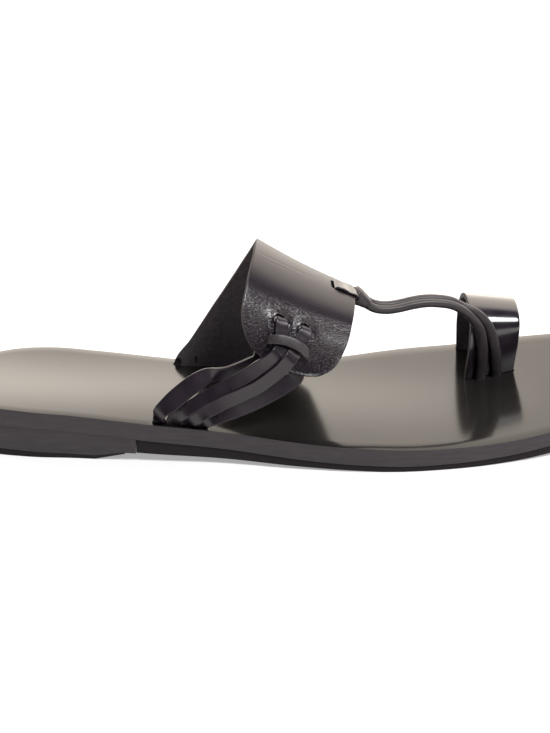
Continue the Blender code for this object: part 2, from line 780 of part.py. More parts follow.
def ring_slots():
    """The two slots in the footbed for the ends of the ring."""
    slots = []
    rear, front = ring_edges(RING)
    margin = np.array([SEAM, 0.0, 0.0])
    for name, foot, base in (("ring_slot_near", 0, 1), ("ring_slot_far", -1, -2)):
        ends = []
        for edge, side in ((rear, -1), (front, 1)):
            along_wall = edge[foot] - edge[base]
            bottom = edge[foot] + unit(along_wall) * SEAM
            ends.append(np.array([bottom, edge[base], edge[base] - along_wall]) + margin * side)
        rear_end, front_end = (e if foot == 0 else e[::-1] for e in ends)
        outer = ring_grid(rear_end, front_end, SEAM)
        inner = ring_grid(rear_end, front_end, -RING_WALL - SEAM)
        slots.append(sheet(name, outer, inner, None))
    return slots


# The sandal


def make_sole(finishes):
    """Footbed, outsole, heel and heel lift, a seam apart."""
    footbed_levels = [
        (EDGE_ROUND, footbed_top),
        (0.3 * EDGE_ROUND, lambda s: footbed_top(s) - 0.3 * EDGE_ROUND),
        (0.0, lambda s: footbed_top(s) - EDGE_ROUND),
        (0.0, footbed_underside),
    ]
    footbed = slab("footbed", sole_stations(0.0, LENGTH, FOREFOOT_FLAT), footbed_levels, finishes["leather_top"])
    outsole_levels = [
        (OUTSOLE_INSET, lambda s: footbed_underside(s) - SEAM),
        (OUTSOLE_INSET, lambda s: tread(s) + TREAD_ROUND),
        (OUTSOLE_INSET + TREAD_ROUND, tread),
    ]
    outsole_stations = sole_stations(HEEL_BREAST + SEAM, LENGTH, FOREFOOT_FLAT)
    slab("outsole", outsole_stations, outsole_levels, finishes["rubber"])
    heel_levels = [(0.0, lambda s: footbed_underside(s) - SEAM), (0.0, heel_underside)]
    heel_stations = sole_stations(0.0, HEEL_BREAST, (HEEL_FLAT_END, LIFT_END, LIFT_END - SEAM))
    slab("heel", heel_stations, heel_levels, finishes["heel_edge"])
    lift_levels = [(0.0, lift_top), (0.0, lift_underside)]
    slab("heel_lift", sole_stations(0.0, LIFT_END - SEAM, (HEEL_FLAT_END,)), lift_levels, finishes["rubber"])
    return footbed


def main():
    for old in list(bpy.data.objects):
        bpy.data.objects.remove(old, do_unlink=True)
    finishes = {
        "leather_top": make_finish("footbed_leather", *LEATHER_TOP),
        "strap": make_finish("strap_leather", *LEATHER_STRAP),
        "heel_edge": make_finish("heel_edge_leather", *HEEL_EDGE),
        "rubber": make_finish("sole_rubber", *RUBBER),
    }
    footbed = make_sole(finishes)
    band = make_band(finishes["strap"])
    make_laces(finishes["strap"])
    make_thong(finishes["strap"])
    make_ring(finishes["strap"])
    openings = [
        arch_slot("rear_lace_slot", REAR_FOLD, LACE), arch_slot("front_lace_slot", FRONT_FOLD, LACE),
        *keeper_slots(), thong_slot(),
    ]
    combine(band, openings, "DIFFERENCE")
    combine(footbed, [band_foot_slot(), lace_slot(), *ring_slots(), *cord_holes()], "DIFFERENCE")


main()
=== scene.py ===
"""Dresses the solids of a flat leather sandal for a right foot: sole, instep band, laces, cords and toe ring.

Tables are in millimetres, with x to the toe, y to the inner (big toe) side and z up from the floor.
Stations run along the foot from the heel end. Turns go around the instep in degrees from its crest.
"""

import math
from collections import namedtuple

import bpy
import numpy as np
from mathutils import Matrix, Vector


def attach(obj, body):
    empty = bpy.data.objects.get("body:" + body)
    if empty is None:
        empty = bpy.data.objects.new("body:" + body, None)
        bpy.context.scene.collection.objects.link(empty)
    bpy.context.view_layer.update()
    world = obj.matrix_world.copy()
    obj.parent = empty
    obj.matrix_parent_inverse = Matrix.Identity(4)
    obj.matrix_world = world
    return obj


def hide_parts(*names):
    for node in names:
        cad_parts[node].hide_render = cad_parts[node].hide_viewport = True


bl_info = {
    "name": "Flat leather sandal",
    "version": (1, 0, 0),
    "blender": (4, 5, 0),
    "location": "View3D > Sidebar > Sandal",
    "description": "Builds the leather, cords, edges and sole of a flat sandal around its solids",
    "category": "Object",
}

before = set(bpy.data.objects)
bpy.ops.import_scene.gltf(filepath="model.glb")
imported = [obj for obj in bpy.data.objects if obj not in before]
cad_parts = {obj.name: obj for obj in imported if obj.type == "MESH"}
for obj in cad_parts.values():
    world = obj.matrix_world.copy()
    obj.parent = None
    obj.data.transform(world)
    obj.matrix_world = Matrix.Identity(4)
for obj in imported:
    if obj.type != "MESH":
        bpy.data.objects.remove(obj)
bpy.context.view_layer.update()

MM = 0.001
BODY = "root"


def table_of(kind, *values):
    """A table of named rows."""
    return [kind(*value) for value in values]


# The sole
LENGTH = 285.0
BALL_WIDTH = 107.0
SOLE_THICKNESS = 9.8
FOOTBED_THICKNESS = 7.2
HEEL_RISE = 11.0
TOE_SPRING = 7.7
HEEL_FLAT_END = 57.0
HEEL_SLOPE_END = 71.0
HEEL_BREAST = 73.6
LIFT_END = 69.5
FOREFOOT_FLAT = (170.0, 205.0)
THINNING_START = 180.0
TOE_THINNING = 1.5
WAIST_CLEARANCE = 3.5
BREAST_CLEARANCE = 3.3
LIFT_BACK = 3.4
LIFT_FRONT = 1.4
LIFT_TIP = 0.4
OUTSOLE_INSET = 0.4
SOLE_ROUND = 0.15
# Room around a strap in its slot, between two straps that touch, and between glued layers
SEAM = 0.3
CLOSE = 0.1
GLUE_LINE = 0.06

# The outline, as shares of the length and the ball width
OutlinePoint = namedtuple("OutlinePoint", "station across")
HEEL_END = OutlinePoint(0.0, 0.0)
TOE_END = OutlinePoint(1.0, 0.11)
OUTER_SIDE = table_of(
    OutlinePoint,
    (0.014, -0.145), (0.047, -0.243), (0.106, -0.295), (0.175, -0.318), (0.279, -0.364),
    (0.381, -0.398), (0.482, -0.458), (0.570, -0.492), (0.633, -0.5), (0.689, -0.488), (0.760, -0.454),
    (0.833, -0.398), (0.893, -0.325), (0.946, -0.222), (0.984, -0.085),
)
INNER_SIDE = table_of(
    OutlinePoint,
    (0.012, 0.135), (0.044, 0.230), (0.086, 0.290), (0.135, 0.311), (0.205, 0.297), (0.279, 0.268),
    (0.342, 0.246), (0.420, 0.250), (0.500, 0.290), (0.570, 0.356), (0.656, 0.433), (0.720, 0.464),
    (0.780, 0.485), (0.844, 0.5), (0.911, 0.470), (0.960, 0.385), (0.990, 0.255),
)
# The footbed's height over the forefoot, as shares of the heel rise
RisePoint = namedtuple("RisePoint", "station share")
RISE = table_of(
    RisePoint,
    (0.0, 1.0), (0.07, 0.935), (0.14, 0.843), (0.2, 0.722), (0.28, 0.565), (0.42, 0.287),
    (0.526, 0.083), (0.596, 0.0), (1.0, 0.0),
)
# Shallow prints of the foot in the footbed
Dish = namedtuple("Dish", "station across length width depth")
DISHES = [Dish(42.0, 0.0, 34.0, 24.0, 0.5), Dish(188.0, 0.0, 40.0, 34.0, 0.4)]
# Grid of a sole layer: its rows and columns, the room at its ends and around the rows of a step
SOLE_STATIONS = 130
SOLE_ACROSS = 15
SOLE_END = 0.06
SOLE_STEP = 0.8

# The instep band
INSTEP_HEIGHT = 78.4
# Heights of the crest and the widest place, the ridge across the foot and the reach to each side of it
InstepSection = namedtuple("InstepSection", "station crest widest ridge outer inner")
INSTEP = [
    InstepSection(121.0, INSTEP_HEIGHT, 36.5, 3.0, 41.5, 29.5),
    InstepSection(145.0, INSTEP_HEIGHT - 14.6, 26.0, 2.4, 39.2, 29.5),
    InstepSection(162.0, INSTEP_HEIGHT - 22.9, 18.5, 2.0, 37.5, 29.5),
]
# Past level on its inner side the band tucks in to its foot over this turn
TUCK_TURN = 36.0
BandFoot = namedtuple("BandFoot", "station across")
BAND_FOOT = [BandFoot(89.0, 22.7), BandFoot(132.0, 24.0)]
# Both edges of the band, from its inner foot around to the end of the ear
BandRow = namedtuple("BandRow", "rear_turn rear front_turn front")
BAND = table_of(
    BandRow,
    (-130.5, 89.6, -130.5, 134.4), (-126.0, 89.7, -126.0, 134.8), (-115.3, 96.9, -117.5, 137.8),
    (-102.0, 104.1, -104.0, 143.8), (-84.8, 111.3, -84.0, 150.8), (-62.7, 118.2, -62.0, 156.8),
    (-47.4, 121.5, -47.0, 160.0), (-26.0, 123.8, -26.0, 162.6), (10.0, 122.7, 10.0, 162.6),
    (41.0, 118.8, 35.0, 160.4), (61.2, 116.4, 53.5, 157.1), (68.2, 117.1, 62.0, 154.6),
    (73.8, 118.8, 69.5, 151.5), (77.7, 121.7, 75.0, 147.6), (80.5, 129.1, 78.8, 142.9),
    (81.3, 134.0, 80.8, 138.4),
)
BAND_ROWS = 300
BAND_COLUMNS = 96
BAND_SLOT_TURN = -126.0
# Laid flat, along the foot and along its girth: the band, the cells of its crinkle and its faint streaks
FLAT_BAND = (40.0, 175.0)
CRINKLE = (2.0, 0.8)
STREAK = (14.0, 0.7)

BandPlace = namedtuple("BandPlace", "station turn")
REAR_FOLD = BandPlace(131.2, 54.4)
FRONT_FOLD = BandPlace(140.9, 53.4)
THONG_FOLD = BandPlace(156.2, 5.0)
BEHIND_REAR = [BandPlace(125.0, 73.0), BandPlace(128.8, 66.0), BandPlace(130.8, 59.5)]
BEHIND_FRONT = [BandPlace(138.0, 76.0), BandPlace(139.6, 67.0), BandPlace(140.6, 59.0)]
BELOW_REAR = [BandPlace(131.3, 58.8), BandPlace(131.4, 66.5)]
BELOW_FRONT = [BandPlace(139.4, 58.6), BandPlace(137.2, 65.5)]
AHEAD_OF_FOLD = (6.8, 4.0)
# A lace slot: its share of the lace's width, its room above the fold, the straight share of its height
SLOT_NARROW = 0.9
SLOT_HEADROOM = 0.9
SLOT_STRAIGHT = 0.15
SLOT_ARCH_POINTS = 13
PUNCH_REACH = 5.4
# The keeper's way through the ear and over the laces: lift off the band's face, full as a share of its width
KeeperStop = namedtuple("KeeperStop", "station turn lift full")
KEEPER_STOPS = table_of(
    KeeperStop,
    (125.2, 68.3, -3.6, 0.7), (125.5, 68.0, -0.9, 0.75), (126.4, 67.2, 1.3, 0.85),
    (128.9, 65.6, 2.6, 0.95), (133.3, 64.3, 2.9, 1.0), (138.2, 65.0, 2.8, 1.0), (140.9, 66.6, 1.3, 1.0),
    (141.9, 67.7, -0.9, 0.95), (142.2, 68.2, -3.6, 0.9),
)
KEEPER_HOLE_ROWS = 7
# Share of a lace's width around its fold, from behind the band to its face
FOLD_FULL = (0.9, 0.66, 0.45, 0.62, 0.84)
FOLD_REACH = 0.95
# Dents in the inner face of the band's foot
Dent = namedtuple("Dent", "place along girth depth")
DENTS = [Dent(BandPlace(90.9, -125.6), 3.4, 3.4, 1.2), Dent(BandPlace(98.7, -124.2), 1.4, 3.0, 0.9)]

# Creases pressed into the band by wear, each from one place to another
Crease = namedtuple("Crease", "start end depth width")
CREASES = [
    Crease(BandPlace(123.5, 13.0), BandPlace(147.0, 8.0), 0.10, 0.5),
    Crease(BandPlace(125.0, 17.0), BandPlace(139.0, 13.5), 0.06, 0.5),
]
# The lip at a slot's rim: its reach, its fade below the fold, the length of the rim's legs, its share beside
LIP_REACH = 1.1
LIP_FADE = 1.5
LIP_LEG = 3.0
LIP_BESIDE = 0.1
# The broader pull around a slot: its height, its reach and the turn below the fold where it ends
SWELL = 0.55
SWELL_REACH = 2.3
SWELL_BELOW = 6.0
# Leather this near to a slot's fold is stretched smooth, and crinkled again this far from it
STRETCHED = (4.2, 7.0)
# The cut edge of the ear stands up a little
EDGE_LIP = 0.6
EDGE_LIP_REACH = (0.15, 1.25)
EAR_TURN = 58.0
EAR_FADE = 14.0

# Laces: their feet in the footbed and their routes in the air, where lean is how far the lower edge stands
# out to the front and full the share of the width
LACE_FEET = (-59.2, -53.9, -48.6, -43.3)
LACE_FOOT_ACROSS = -36.6
LACE_FOOT_SLOPE = -0.115
LACE_FOOT_STRAIGHT = 1.0
LACE_FOOT_LEAN = 0.08
FOOT_DEPTH = 4.6
# Runs 1 and 2 are the rear lace's, 3 and 4 the front lace's, and 1 and 4 are the ones behind the ear
Stop = namedtuple("Stop", "x y z lean full", defaults=(1.0,))
LACE_1 = table_of(
    Stop,
    (-59.1, -40.3, 22.1, 0.5), (-55.3, -40.2, 25.6, 0.45, 1.25), (-49.7, -39.4, 30.4, 0.4, 1.3),
    (-44.4, -38.4, 34.1, 0.25, 1.25), (-40.4, -37.2, 35.9, 0.05, 1.1), (-37.1, -36.2, 36.0, -0.2),
    (-33.7, -35.4, 36.1, -0.3), (-29.0, -35.0, 37.4, -0.3), (-23.8, -34.5, 39.3, -0.2),
    (-20.3, -34.0, 40.7, -0.1),
)
LACE_2 = table_of(
    Stop,
    (-13.2, -39.2, 45.3, 0.0), (-16.3, -39.9, 42.9, 0.0), (-20.6, -40.5, 40.3, 0.15),
    (-25.5, -40.8, 37.0, 0.25), (-31.2, -41.0, 33.9, 0.3), (-37.8, -41.1, 30.4, 0.45),
    (-44.5, -41.1, 26.1, 0.6), (-48.9, -40.8, 22.9, 0.8),
)
LACE_3 = table_of(
    Stop,
    (-7.9, -40.4, 44.0, 0.0), (-11.3, -41.2, 40.2, 0.0), (-16.2, -42.0, 36.3, 0.0),
    (-20.7, -42.5, 33.2, 0.0), (-26.8, -42.9, 30.3, 0.05), (-34.2, -43.1, 27.0, 0.2),
    (-40.7, -42.9, 23.4, 0.4), (-43.9, -42.2, 20.9, 0.6),
)
LACE_4 = table_of(
    Stop,
    (-5.5, -34.6, 33.7, 0.0, 1.15), (-8.7, -35.8, 31.5, 0.1, 1.15), (-14.2, -37.6, 28.4, 0.1, 1.05),
    (-21.6, -39.4, 25.0, 0.1), (-29.3, -40.6, 22.3, 0.15), (-35.6, -41.2, 20.4, 0.3),
    (-39.3, -41.0, 18.9, 0.5),
)

# The thong: its loop on the band, its collar and its two cords
CollarRow = namedtuple("CollarRow", "x y z wide tall")
COLLAR = table_of(
    CollarRow,
    (19.7, 1.3, 53.7, 5.4, 4.6), (20.1, 1.3, 53.5, 6.8, 6.2), (21.4, 1.4, 52.7, 7.5, 6.6),
    (23.4, 1.5, 51.3, 7.5, 5.5), (25.4, 1.7, 49.9, 7.3, 4.3), (26.2, 1.8, 49.4, 6.6, 3.6),
)
THONG_BRIDGE = [
    (22.9, 1.6, 51.2), (28.9, 2.2, 47.4), (33.5, 3.0, 46.4), (38.9, 4.2, 46.5), (44.0, 5.3, 47.2),
    (50.0, 6.6, 47.5), (55.5, 7.6, 46.9), (61.2, 8.6, 45.4), (65.6, 9.0, 42.9),
]
NEAR_CORD_DROP = [
    (69.4, 7.9, 39.2), (72.6, 9.0, 34.4), (74.5, 10.4, 28.0), (75.2, 11.3, 21.0), (75.0, 12.3, 14.5),
]
FAR_CORD_DROP = [
    (71.8, 10.8, 40.2), (76.0, 11.0, 35.6), (78.9, 12.2, 29.0), (80.6, 12.7, 22.0), (81.4, 14.0, 15.0),
]
NEAR_CORD_FOOT = (74.8, 13.2)
FAR_CORD_FOOT = (81.8, 15.2)
CORD_GAP = 0.1
# On the ring's face the cords are pressed flat: shares of width and thickness, and the heights between
PRESSED = (0.66, 1.2)
PRESSED_HEIGHTS = (34.0, 41.0)
FAR_CORD_HIGHER = 0.5
KEEPER = (4.0, 1.8)
LOOP = (6.0, 0.9)
LOOP_SLOT_SPARE = 1.0
LOOP_SLOT_CORNER = (0.8, 0.85)

RingRow = namedtuple("RingRow", "rear_across rear_height front_across front_height ahead")
RING_REAR = 68.6
RING_FRONT = 89.5
RING = [
    RingRow(14.3, -FOOT_DEPTH, 19.6, -FOOT_DEPTH, 0.0),
    RingRow(13.6, 0.0, 18.9, 0.0, 0.0),
    RingRow(13.0, 14.5, 17.4, 14.0, 1.3),
    RingRow(15.6, 25.0, 18.6, 22.4, 1.7),
    RingRow(29.5, 31.3, 31.0, 27.4, 1.2),
    RingRow(43.4, 25.0, 43.4, 22.0, 0.4),
    RingRow(47.2, 14.5, 46.4, 13.0, 0.0),
    RingRow(46.4, 0.0, 45.4, 0.0, 0.0),
    RingRow(45.8, -FOOT_DEPTH, 44.8, -FOOT_DEPTH, 0.0),
]
RING_ROWS = 110
RING_COLUMNS = 18

# Sections of swept pieces: rounding of a flat strip's edges, and how square an oval is (2 is an ellipse)
STRIP_ROUND = 0.3
STRIP_FLANK = 0.22
CORD_FULLNESS = 2.3
COLLAR_FULLNESS = 3.2
KEEPER_FULLNESS = 5.0
# Spacing of rows along swept pieces
CORD_STEP = 0.8
LACE_STEP = 0.6
SHORT_STEP = 0.5
FINE_STEP = 0.4
# Angles in degrees above which an edge is rounded, and stays unsmoothed
SHARP = 60.0
SMOOTH_BELOW = 38.0
# A face whose normal points up or down by less than this share is an edge face
STANDING = 0.7

# Camera and lights, from the photograph's view
AIM = (-14.5, -50.9, 45.5)
CAMERA_TURN = -3.0
CAMERA_RISE = 24.0
CAMERA_DISTANCE = 900.0
LENS = 114.9
SENSOR = 36.0
FLOOR_DROP = 0.1
# The overhead light and the floor, in metres
KEY_PLACE = (0.62, -0.58, 1.15)
KEY_SIZE = 0.5
FLOOR_SIZE = 8.0
# The room turns from its front to the backdrop between these shares of the way to the back
BACKDROP_EDGE = (0.24, 0.46)
FRONT_TINT = "#F3ECFF"
BACKDROP_TINT = "#FFF4E7"


def hex_linear(code):
    """A linear colour from an sRGB hex value."""
    values = [int(code[i:i + 2], 16) / 255 for i in (1, 3, 5)]
    return [v / 12.92 if v <= 0.04045 else ((v + 0.055) / 1.055) ** 2.4 for v in values]


def per(millimetres):
    """A texture's scale on Object coordinates for a feature of this size."""
    return 1.0 / (millimetres * MM)


def a_length(name, description, default):
    """A size that a user would change, in metres."""
    return bpy.props.FloatProperty(name=name, description=description, default=default, unit="LENGTH")


def a_colour(name, description, code):
    """A colour that a user would change, from its sRGB hex value."""
    return bpy.props.FloatVectorProperty(
        name=name, description=description, subtype="COLOR", size=3, default=hex_linear(code),
        min=0.0, max=1.0)


class SandalSizes(bpy.types.PropertyGroup):
    """Sizes of the cut leather."""

    wall: a_length("Band wall", "Thickness of the instep band", 0.0018)
    ring_wall: a_length("Ring wall", "Thickness of the toe ring", 0.002)
    lace_width: a_length("Lace width", "Width of the side laces", 0.0057)
    lace_thickness: a_length("Lace thickness", "Thickness of the side laces", 0.0014)
    cord_width: a_length("Cord width", "Width of each toe cord", 0.0035)
    cord_thickness: a_length("Cord thickness", "Thickness of each toe cord", 0.0035)
    rim: a_length("Footbed rim", "Rounding of the footbed's upper edge", 0.0003)
    cut_round: a_length("Cut edge", "Rounding of the cut edges of the straps", 0.0002)
    lip: a_length("Slot lip", "How far the leather lifts around the slots", 0.0002)


class SandalColours(bpy.types.PropertyGroup):
    """Colours of the leather, rubber and floor."""

    footbed: a_colour("Footbed", "Polished footbed leather", "#1B1A19")
    strap: a_colour("Strap", "Leather of the straps", "#1C151C")
    cut_edge: a_colour("Cut edge", "Dyed cut edge of the straps", "#2F2A2C")
    flesh_side: a_colour("Flesh side", "Dyed inner face of the instep band", "#4A4446")
    sole_edge: a_colour("Sole edge", "Waxed edge of the footbed and the heel", "#2C262A")
    rubber: a_colour("Rubber", "Rubber of the outsole and the heel lift", "#1A1416")
    floor: a_colour("Floor", "Plain studio floor", "#DCDCDC")


class SandalLights(bpy.types.PropertyGroup):
    """Strengths of the studio light."""

    key: bpy.props.FloatProperty(
        name="Overhead light", description="Power of the light above the sandal", default=21.0, unit="POWER")
    backdrop: bpy.props.FloatProperty(
        name="Backdrop", description="Brightness of the backdrop behind the sandal", default=2.9)
    front: bpy.props.FloatProperty(
        name="Front", description="Brightness of the room in front of the sandal", default=0.14)


# Curves and surfaces


def smooth(at, knots, values):
    """A smooth curve through a table: cubic pieces whose slopes come from the neighbouring rows."""
    at = np.asarray(at, float)
    knots = np.asarray(knots, float)
    values = np.asarray(values, float)
    steps = np.diff(knots)
    slopes = np.diff(values, axis=0) / (steps if values.ndim == 1 else steps[:, None])
    weight = steps[1:] / (steps[1:] + steps[:-1])
    weight = weight if values.ndim == 1 else weight[:, None]
    inner = weight * slopes[:-1] + (1 - weight) * slopes[1:]
    tangents = np.concatenate([slopes[:1], inner, slopes[-1:]])
    span = np.clip(np.searchsorted(knots, at, side="right") - 1, 0, len(knots) - 2)
    length = steps[span]
    t = (at - knots[span]) / length
    if values.ndim > 1:
        length = length[..., None]
        t = t[..., None]
    start = (1 + 2 * t) * (1 - t) ** 2 * values[span] + t * (1 - t) ** 2 * length * tangents[span]
    return start + t ** 2 * (3 - 2 * t) * values[span + 1] - t ** 2 * (1 - t) * length * tangents[span + 1]


def along(points, spacing):
    """Evenly spaced points on a smooth curve through the given ones."""
    points = np.asarray(points, float)
    chords = np.linalg.norm(np.diff(points[:, :3], axis=0), axis=1)
    reach = np.concatenate([[0.0], np.cumsum(chords)])
    count = max(3, int(round(reach[-1] / spacing)) + 1)
    return smooth(np.linspace(0.0, reach[-1], count), reach, points)


def column(rows, name):
    return np.array([getattr(row, name) for row in rows])


def unit(vectors):
    return vectors / np.linalg.norm(vectors, axis=-1, keepdims=True)


def closed_outline():
    """Dense plan of the footbed, from the heel end along the outer side to the toe and back."""
    points = [HEEL_END, *OUTER_SIDE, TOE_END, *reversed(INNER_SIDE), HEEL_END]
    plan = np.array([(p.station * LENGTH, p.across * BALL_WIDTH) for p in points])
    overlap = 3
    looped = np.concatenate([plan[-1 - overlap:-1], plan, plan[1:1 + overlap]])
    dense = along(looped, SHORT_STEP)
    first = np.argmin(np.linalg.norm(dense[:len(dense) // 4] - plan[0], axis=1))
    last = len(dense) // 2 + np.argmin(np.linalg.norm(dense[len(dense) // 2:] - plan[0], axis=1))
    return dense[first:last + 1]


PLAN = closed_outline()
TOE_INDEX = int(np.argmax(PLAN[:, 0]))
PLAN_ENDS = (PLAN[:, 0].min(), PLAN[:, 0].max())


def side_across(side, station):
    half = PLAN[:TOE_INDEX + 1] if side == "outer" else PLAN[:TOE_INDEX - 1:-1]
    return np.interp(station, half[:, 0], half[:, 1])


def side_points(side, stations, inset):
    """Points of one side of the outline, moved inwards square to it."""
    step = 0.05
    slope = (side_across(side, stations + step) - side_across(side, stations - step)) / (2 * step)
    length = np.sqrt(1 + slope ** 2)
    inwards = 1.0 if side == "outer" else -1.0
    across = side_across(side, stations) + inwards * inset / length
    return np.stack([stations - inwards * slope * inset / length, across], 1)


def footbed_top(station):
    rise = smooth(np.asarray(station) / LENGTH, column(RISE, "station"), column(RISE, "share"))
    toe = np.clip((np.asarray(station) - FOREFOOT_FLAT[1]) / (LENGTH - FOREFOOT_FLAT[1]), 0, None)
    return SOLE_THICKNESS + HEEL_RISE * rise + TOE_SPRING * toe ** 2


def top_at(x):
    """Height of the footbed's top at a place along the foot."""
    return float(footbed_top(x + LENGTH / 2))


def worn_top(station, across):
    """The footbed's top with the shallow prints of heel and ball."""
    level = footbed_top(station)
    for dish in DISHES:
        far = ((station - dish.station) / dish.length) ** 2 + ((across - dish.across) / dish.width) ** 2
        level = level - dish.depth * np.exp(-far)
    return level


def footbed_underside(station):
    toe = np.clip((np.asarray(station) - THINNING_START) / (LENGTH - THINNING_START), 0, None)
    return footbed_top(station) - FOOTBED_THICKNESS + TOE_THINNING * toe * (2 - toe)


def under_footbed(station):
    return footbed_underside(station) - GLUE_LINE


def tread(station):
    waist = (FOREFOOT_FLAT[0] - np.asarray(station)) / (FOREFOOT_FLAT[0] - HEEL_BREAST)
    toe = (np.asarray(station) - FOREFOOT_FLAT[1]) / (LENGTH - FOREFOOT_FLAT[1])
    return WAIST_CLEARANCE * np.clip(waist, 0, None) + TOE_SPRING * np.clip(toe, 0, None) ** 2


def lift_underside(station):
    return np.interp(station, [0.0, HEEL_FLAT_END, HEEL_SLOPE_END], [0.0, 0.0, BREAST_CLEARANCE])


def lift_top(station):
    tip = lift_underside(LIFT_END) + LIFT_TIP
    return np.interp(station, [0.0, HEEL_FLAT_END, LIFT_END], [LIFT_BACK, LIFT_FRONT, tip])


def heel_underside(station):
    return np.where(np.asarray(station) < LIFT_END, lift_top(station) + GLUE_LINE, BREAST_CLEARANCE)


def instep(station):
    """Section over the instep at a station, from the parabola through the three given sections."""
    knots = column(INSTEP, "station")
    values = {}
    for name in InstepSection._fields[1:]:
        values[name] = np.polyval(np.polyfit(knots, column(INSTEP, name), 2), station)
    return values


def band_surface(station, turn):
    """Points on the outer face of the band. Past level on the inner side it tucks in to the footbed."""
    station = np.asarray(station, float)
    turn = np.asarray(turn, float)
    section = instep(station)
    angle = np.radians(np.maximum(turn, -90.0))
    half = np.where(turn > 0, section["outer"], section["inner"])
    y = section["ridge"] - half * np.sin(angle)
    z = section["widest"] + (section["crest"] - section["widest"]) * np.cos(angle)
    down = np.clip((-turn - 90.0) / TUCK_TURN, 0.0, None)
    foot = np.interp(station, column(BAND_FOOT, "station"), column(BAND_FOOT, "across"))
    y = y - (y - foot) * (1 - np.cos(down * math.pi / 2)) * (down > 0)
    z = z - down * (z - footbed_top(station))
    return np.stack([station - LENGTH / 2, y, z], -1)


def band_frame(station, turn):
    """Points on the band, the way out of it, the way down its girth and the way to the toe."""
    step = 0.5
    station = np.asarray(station, float)
    turn = np.asarray(turn, float)
    down = unit(band_surface(station, turn + step) - band_surface(station, turn - step))
    toe = unit(band_surface(station + step, turn) - band_surface(station - step, turn))
    return band_surface(station, turn), unit(np.cross(down, toe)), down, toe


def on_band(station, turn, lift):
    point, out, _, _ = band_frame(station, turn)
    return point + out * lift


def band_places(rows, columns):
    """Stations and turns of a grid over the band, its rows spread evenly along the girth."""
    table = np.array(BAND)
    middle = band_surface((table[:, 1] + table[:, 3]) / 2, (table[:, 0] + table[:, 2]) / 2)
    edge = band_surface(table[:, 1], table[:, 0])
    steps = np.linalg.norm(np.diff(middle, axis=0), axis=1) + np.linalg.norm(np.diff(edge, axis=0), axis=1)
    reach = np.concatenate([[0.0], np.cumsum(steps)])
    spread = smooth(np.linspace(reach[-1], 0.0, rows), reach, table)
    shares = np.linspace(0.0, 1.0, columns)
    stations = spread[:, 1:2] + (spread[:, 3:4] - spread[:, 1:2]) * shares
    turns = spread[:, 0:1] + (spread[:, 2:3] - spread[:, 0:1]) * shares
    return stations, turns


# Modelling with Blender's own tools


def pick(piece):
    """Makes one object the only selected and the active one."""
    bpy.ops.object.select_all(action="DESELECT")
    piece.select_set(True)
    bpy.context.view_layer.objects.active = piece


def lay_grid(name, points):
    """Adds a grid and lays its points, rows by columns, in the given places."""
    rows, columns = points.shape[:2]
    bpy.ops.object.select_all(action="DESELECT")
    bpy.ops.mesh.primitive_grid_add(x_subdivisions=columns - 1, y_subdivisions=rows - 1, size=1.0)
    piece = bpy.context.object
    piece.name = name
    piece.data.name = name
    piece.data.vertices.foreach_set("co", (points * MM).astype(np.float32).ravel())
    piece.data.update()
    return piece


def raise_points(piece, moves):
    """Moves the first points of a mesh, which a wall leaves on its outer face."""
    places = np.empty(3 * len(piece.data.vertices), np.float32)
    piece.data.vertices.foreach_get("co", places)
    places[:moves.size] += (moves * MM).astype(np.float32).ravel()
    piece.data.vertices.foreach_set("co", places)
    piece.data.update()


def edit_all(piece, *steps):
    """Runs edit mode operators on the whole mesh."""
    pick(piece)
    bpy.ops.object.mode_set(mode="EDIT")
    for operator, settings in steps:
        bpy.ops.mesh.select_all(action="SELECT")
        operator(**settings)
    bpy.ops.object.mode_set(mode="OBJECT")


def apply_modifier(piece, kind, **settings):
    pick(piece)
    step = piece.modifiers.new(kind.title(), kind)
    for name, value in settings.items():
        setattr(step, name, value)
    bpy.ops.object.modifier_apply(modifier=step.name)


def cut(piece, tools):
    """Takes the tools out of the piece and removes them."""
    for tool in tools:
        apply_modifier(piece, "BOOLEAN", operation="DIFFERENCE", solver="EXACT", object=tool)
        bpy.data.objects.remove(tool, do_unlink=True)


def oval_section(fullness, around=20):
    """Section of a round cord: shares of half its width and thickness, and offsets."""
    turn = np.linspace(0.0, 2 * math.pi, around + 1)
    shares = [np.sign(side) * np.abs(side) ** (2 / fullness) for side in (np.cos(turn), np.sin(turn))]
    return np.stack([*shares, np.zeros(around + 1), np.zeros(around + 1)], 1)


def strip_section():
    """Section of a flat strip: flat flanks and rounded edges, as shares and offsets."""
    rows = []
    for quarter, (wide, thick) in enumerate(((1, 1), (-1, 1), (-1, -1), (1, -1))):
        turns = quarter * math.pi / 2 + np.linspace(0.0, math.pi / 2, 4)
        arc = STRIP_ROUND * np.stack([np.cos(turns) - wide, np.sin(turns) - thick], 1)
        flank = STRIP_FLANK * np.stack([-np.sin(turns), np.cos(turns)], 1)
        rows += [(wide, thick, *offset) for offset in (arc[0] - flank[0], *arc, arc[-1] + flank[-1])]
    return np.array(rows + rows[:1])


CORD = oval_section(CORD_FULLNESS)
COLLAR_SECTION = oval_section(COLLAR_FULLNESS)
KEEPER_SECTION = oval_section(KEEPER_FULLNESS)
STRIP = strip_section()
SQUARE = np.array([(1, 1, 0, 0), (-1, 1, 0, 0), (-1, -1, 0, 0), (1, -1, 0, 0), (1, 1, 0, 0)], float)


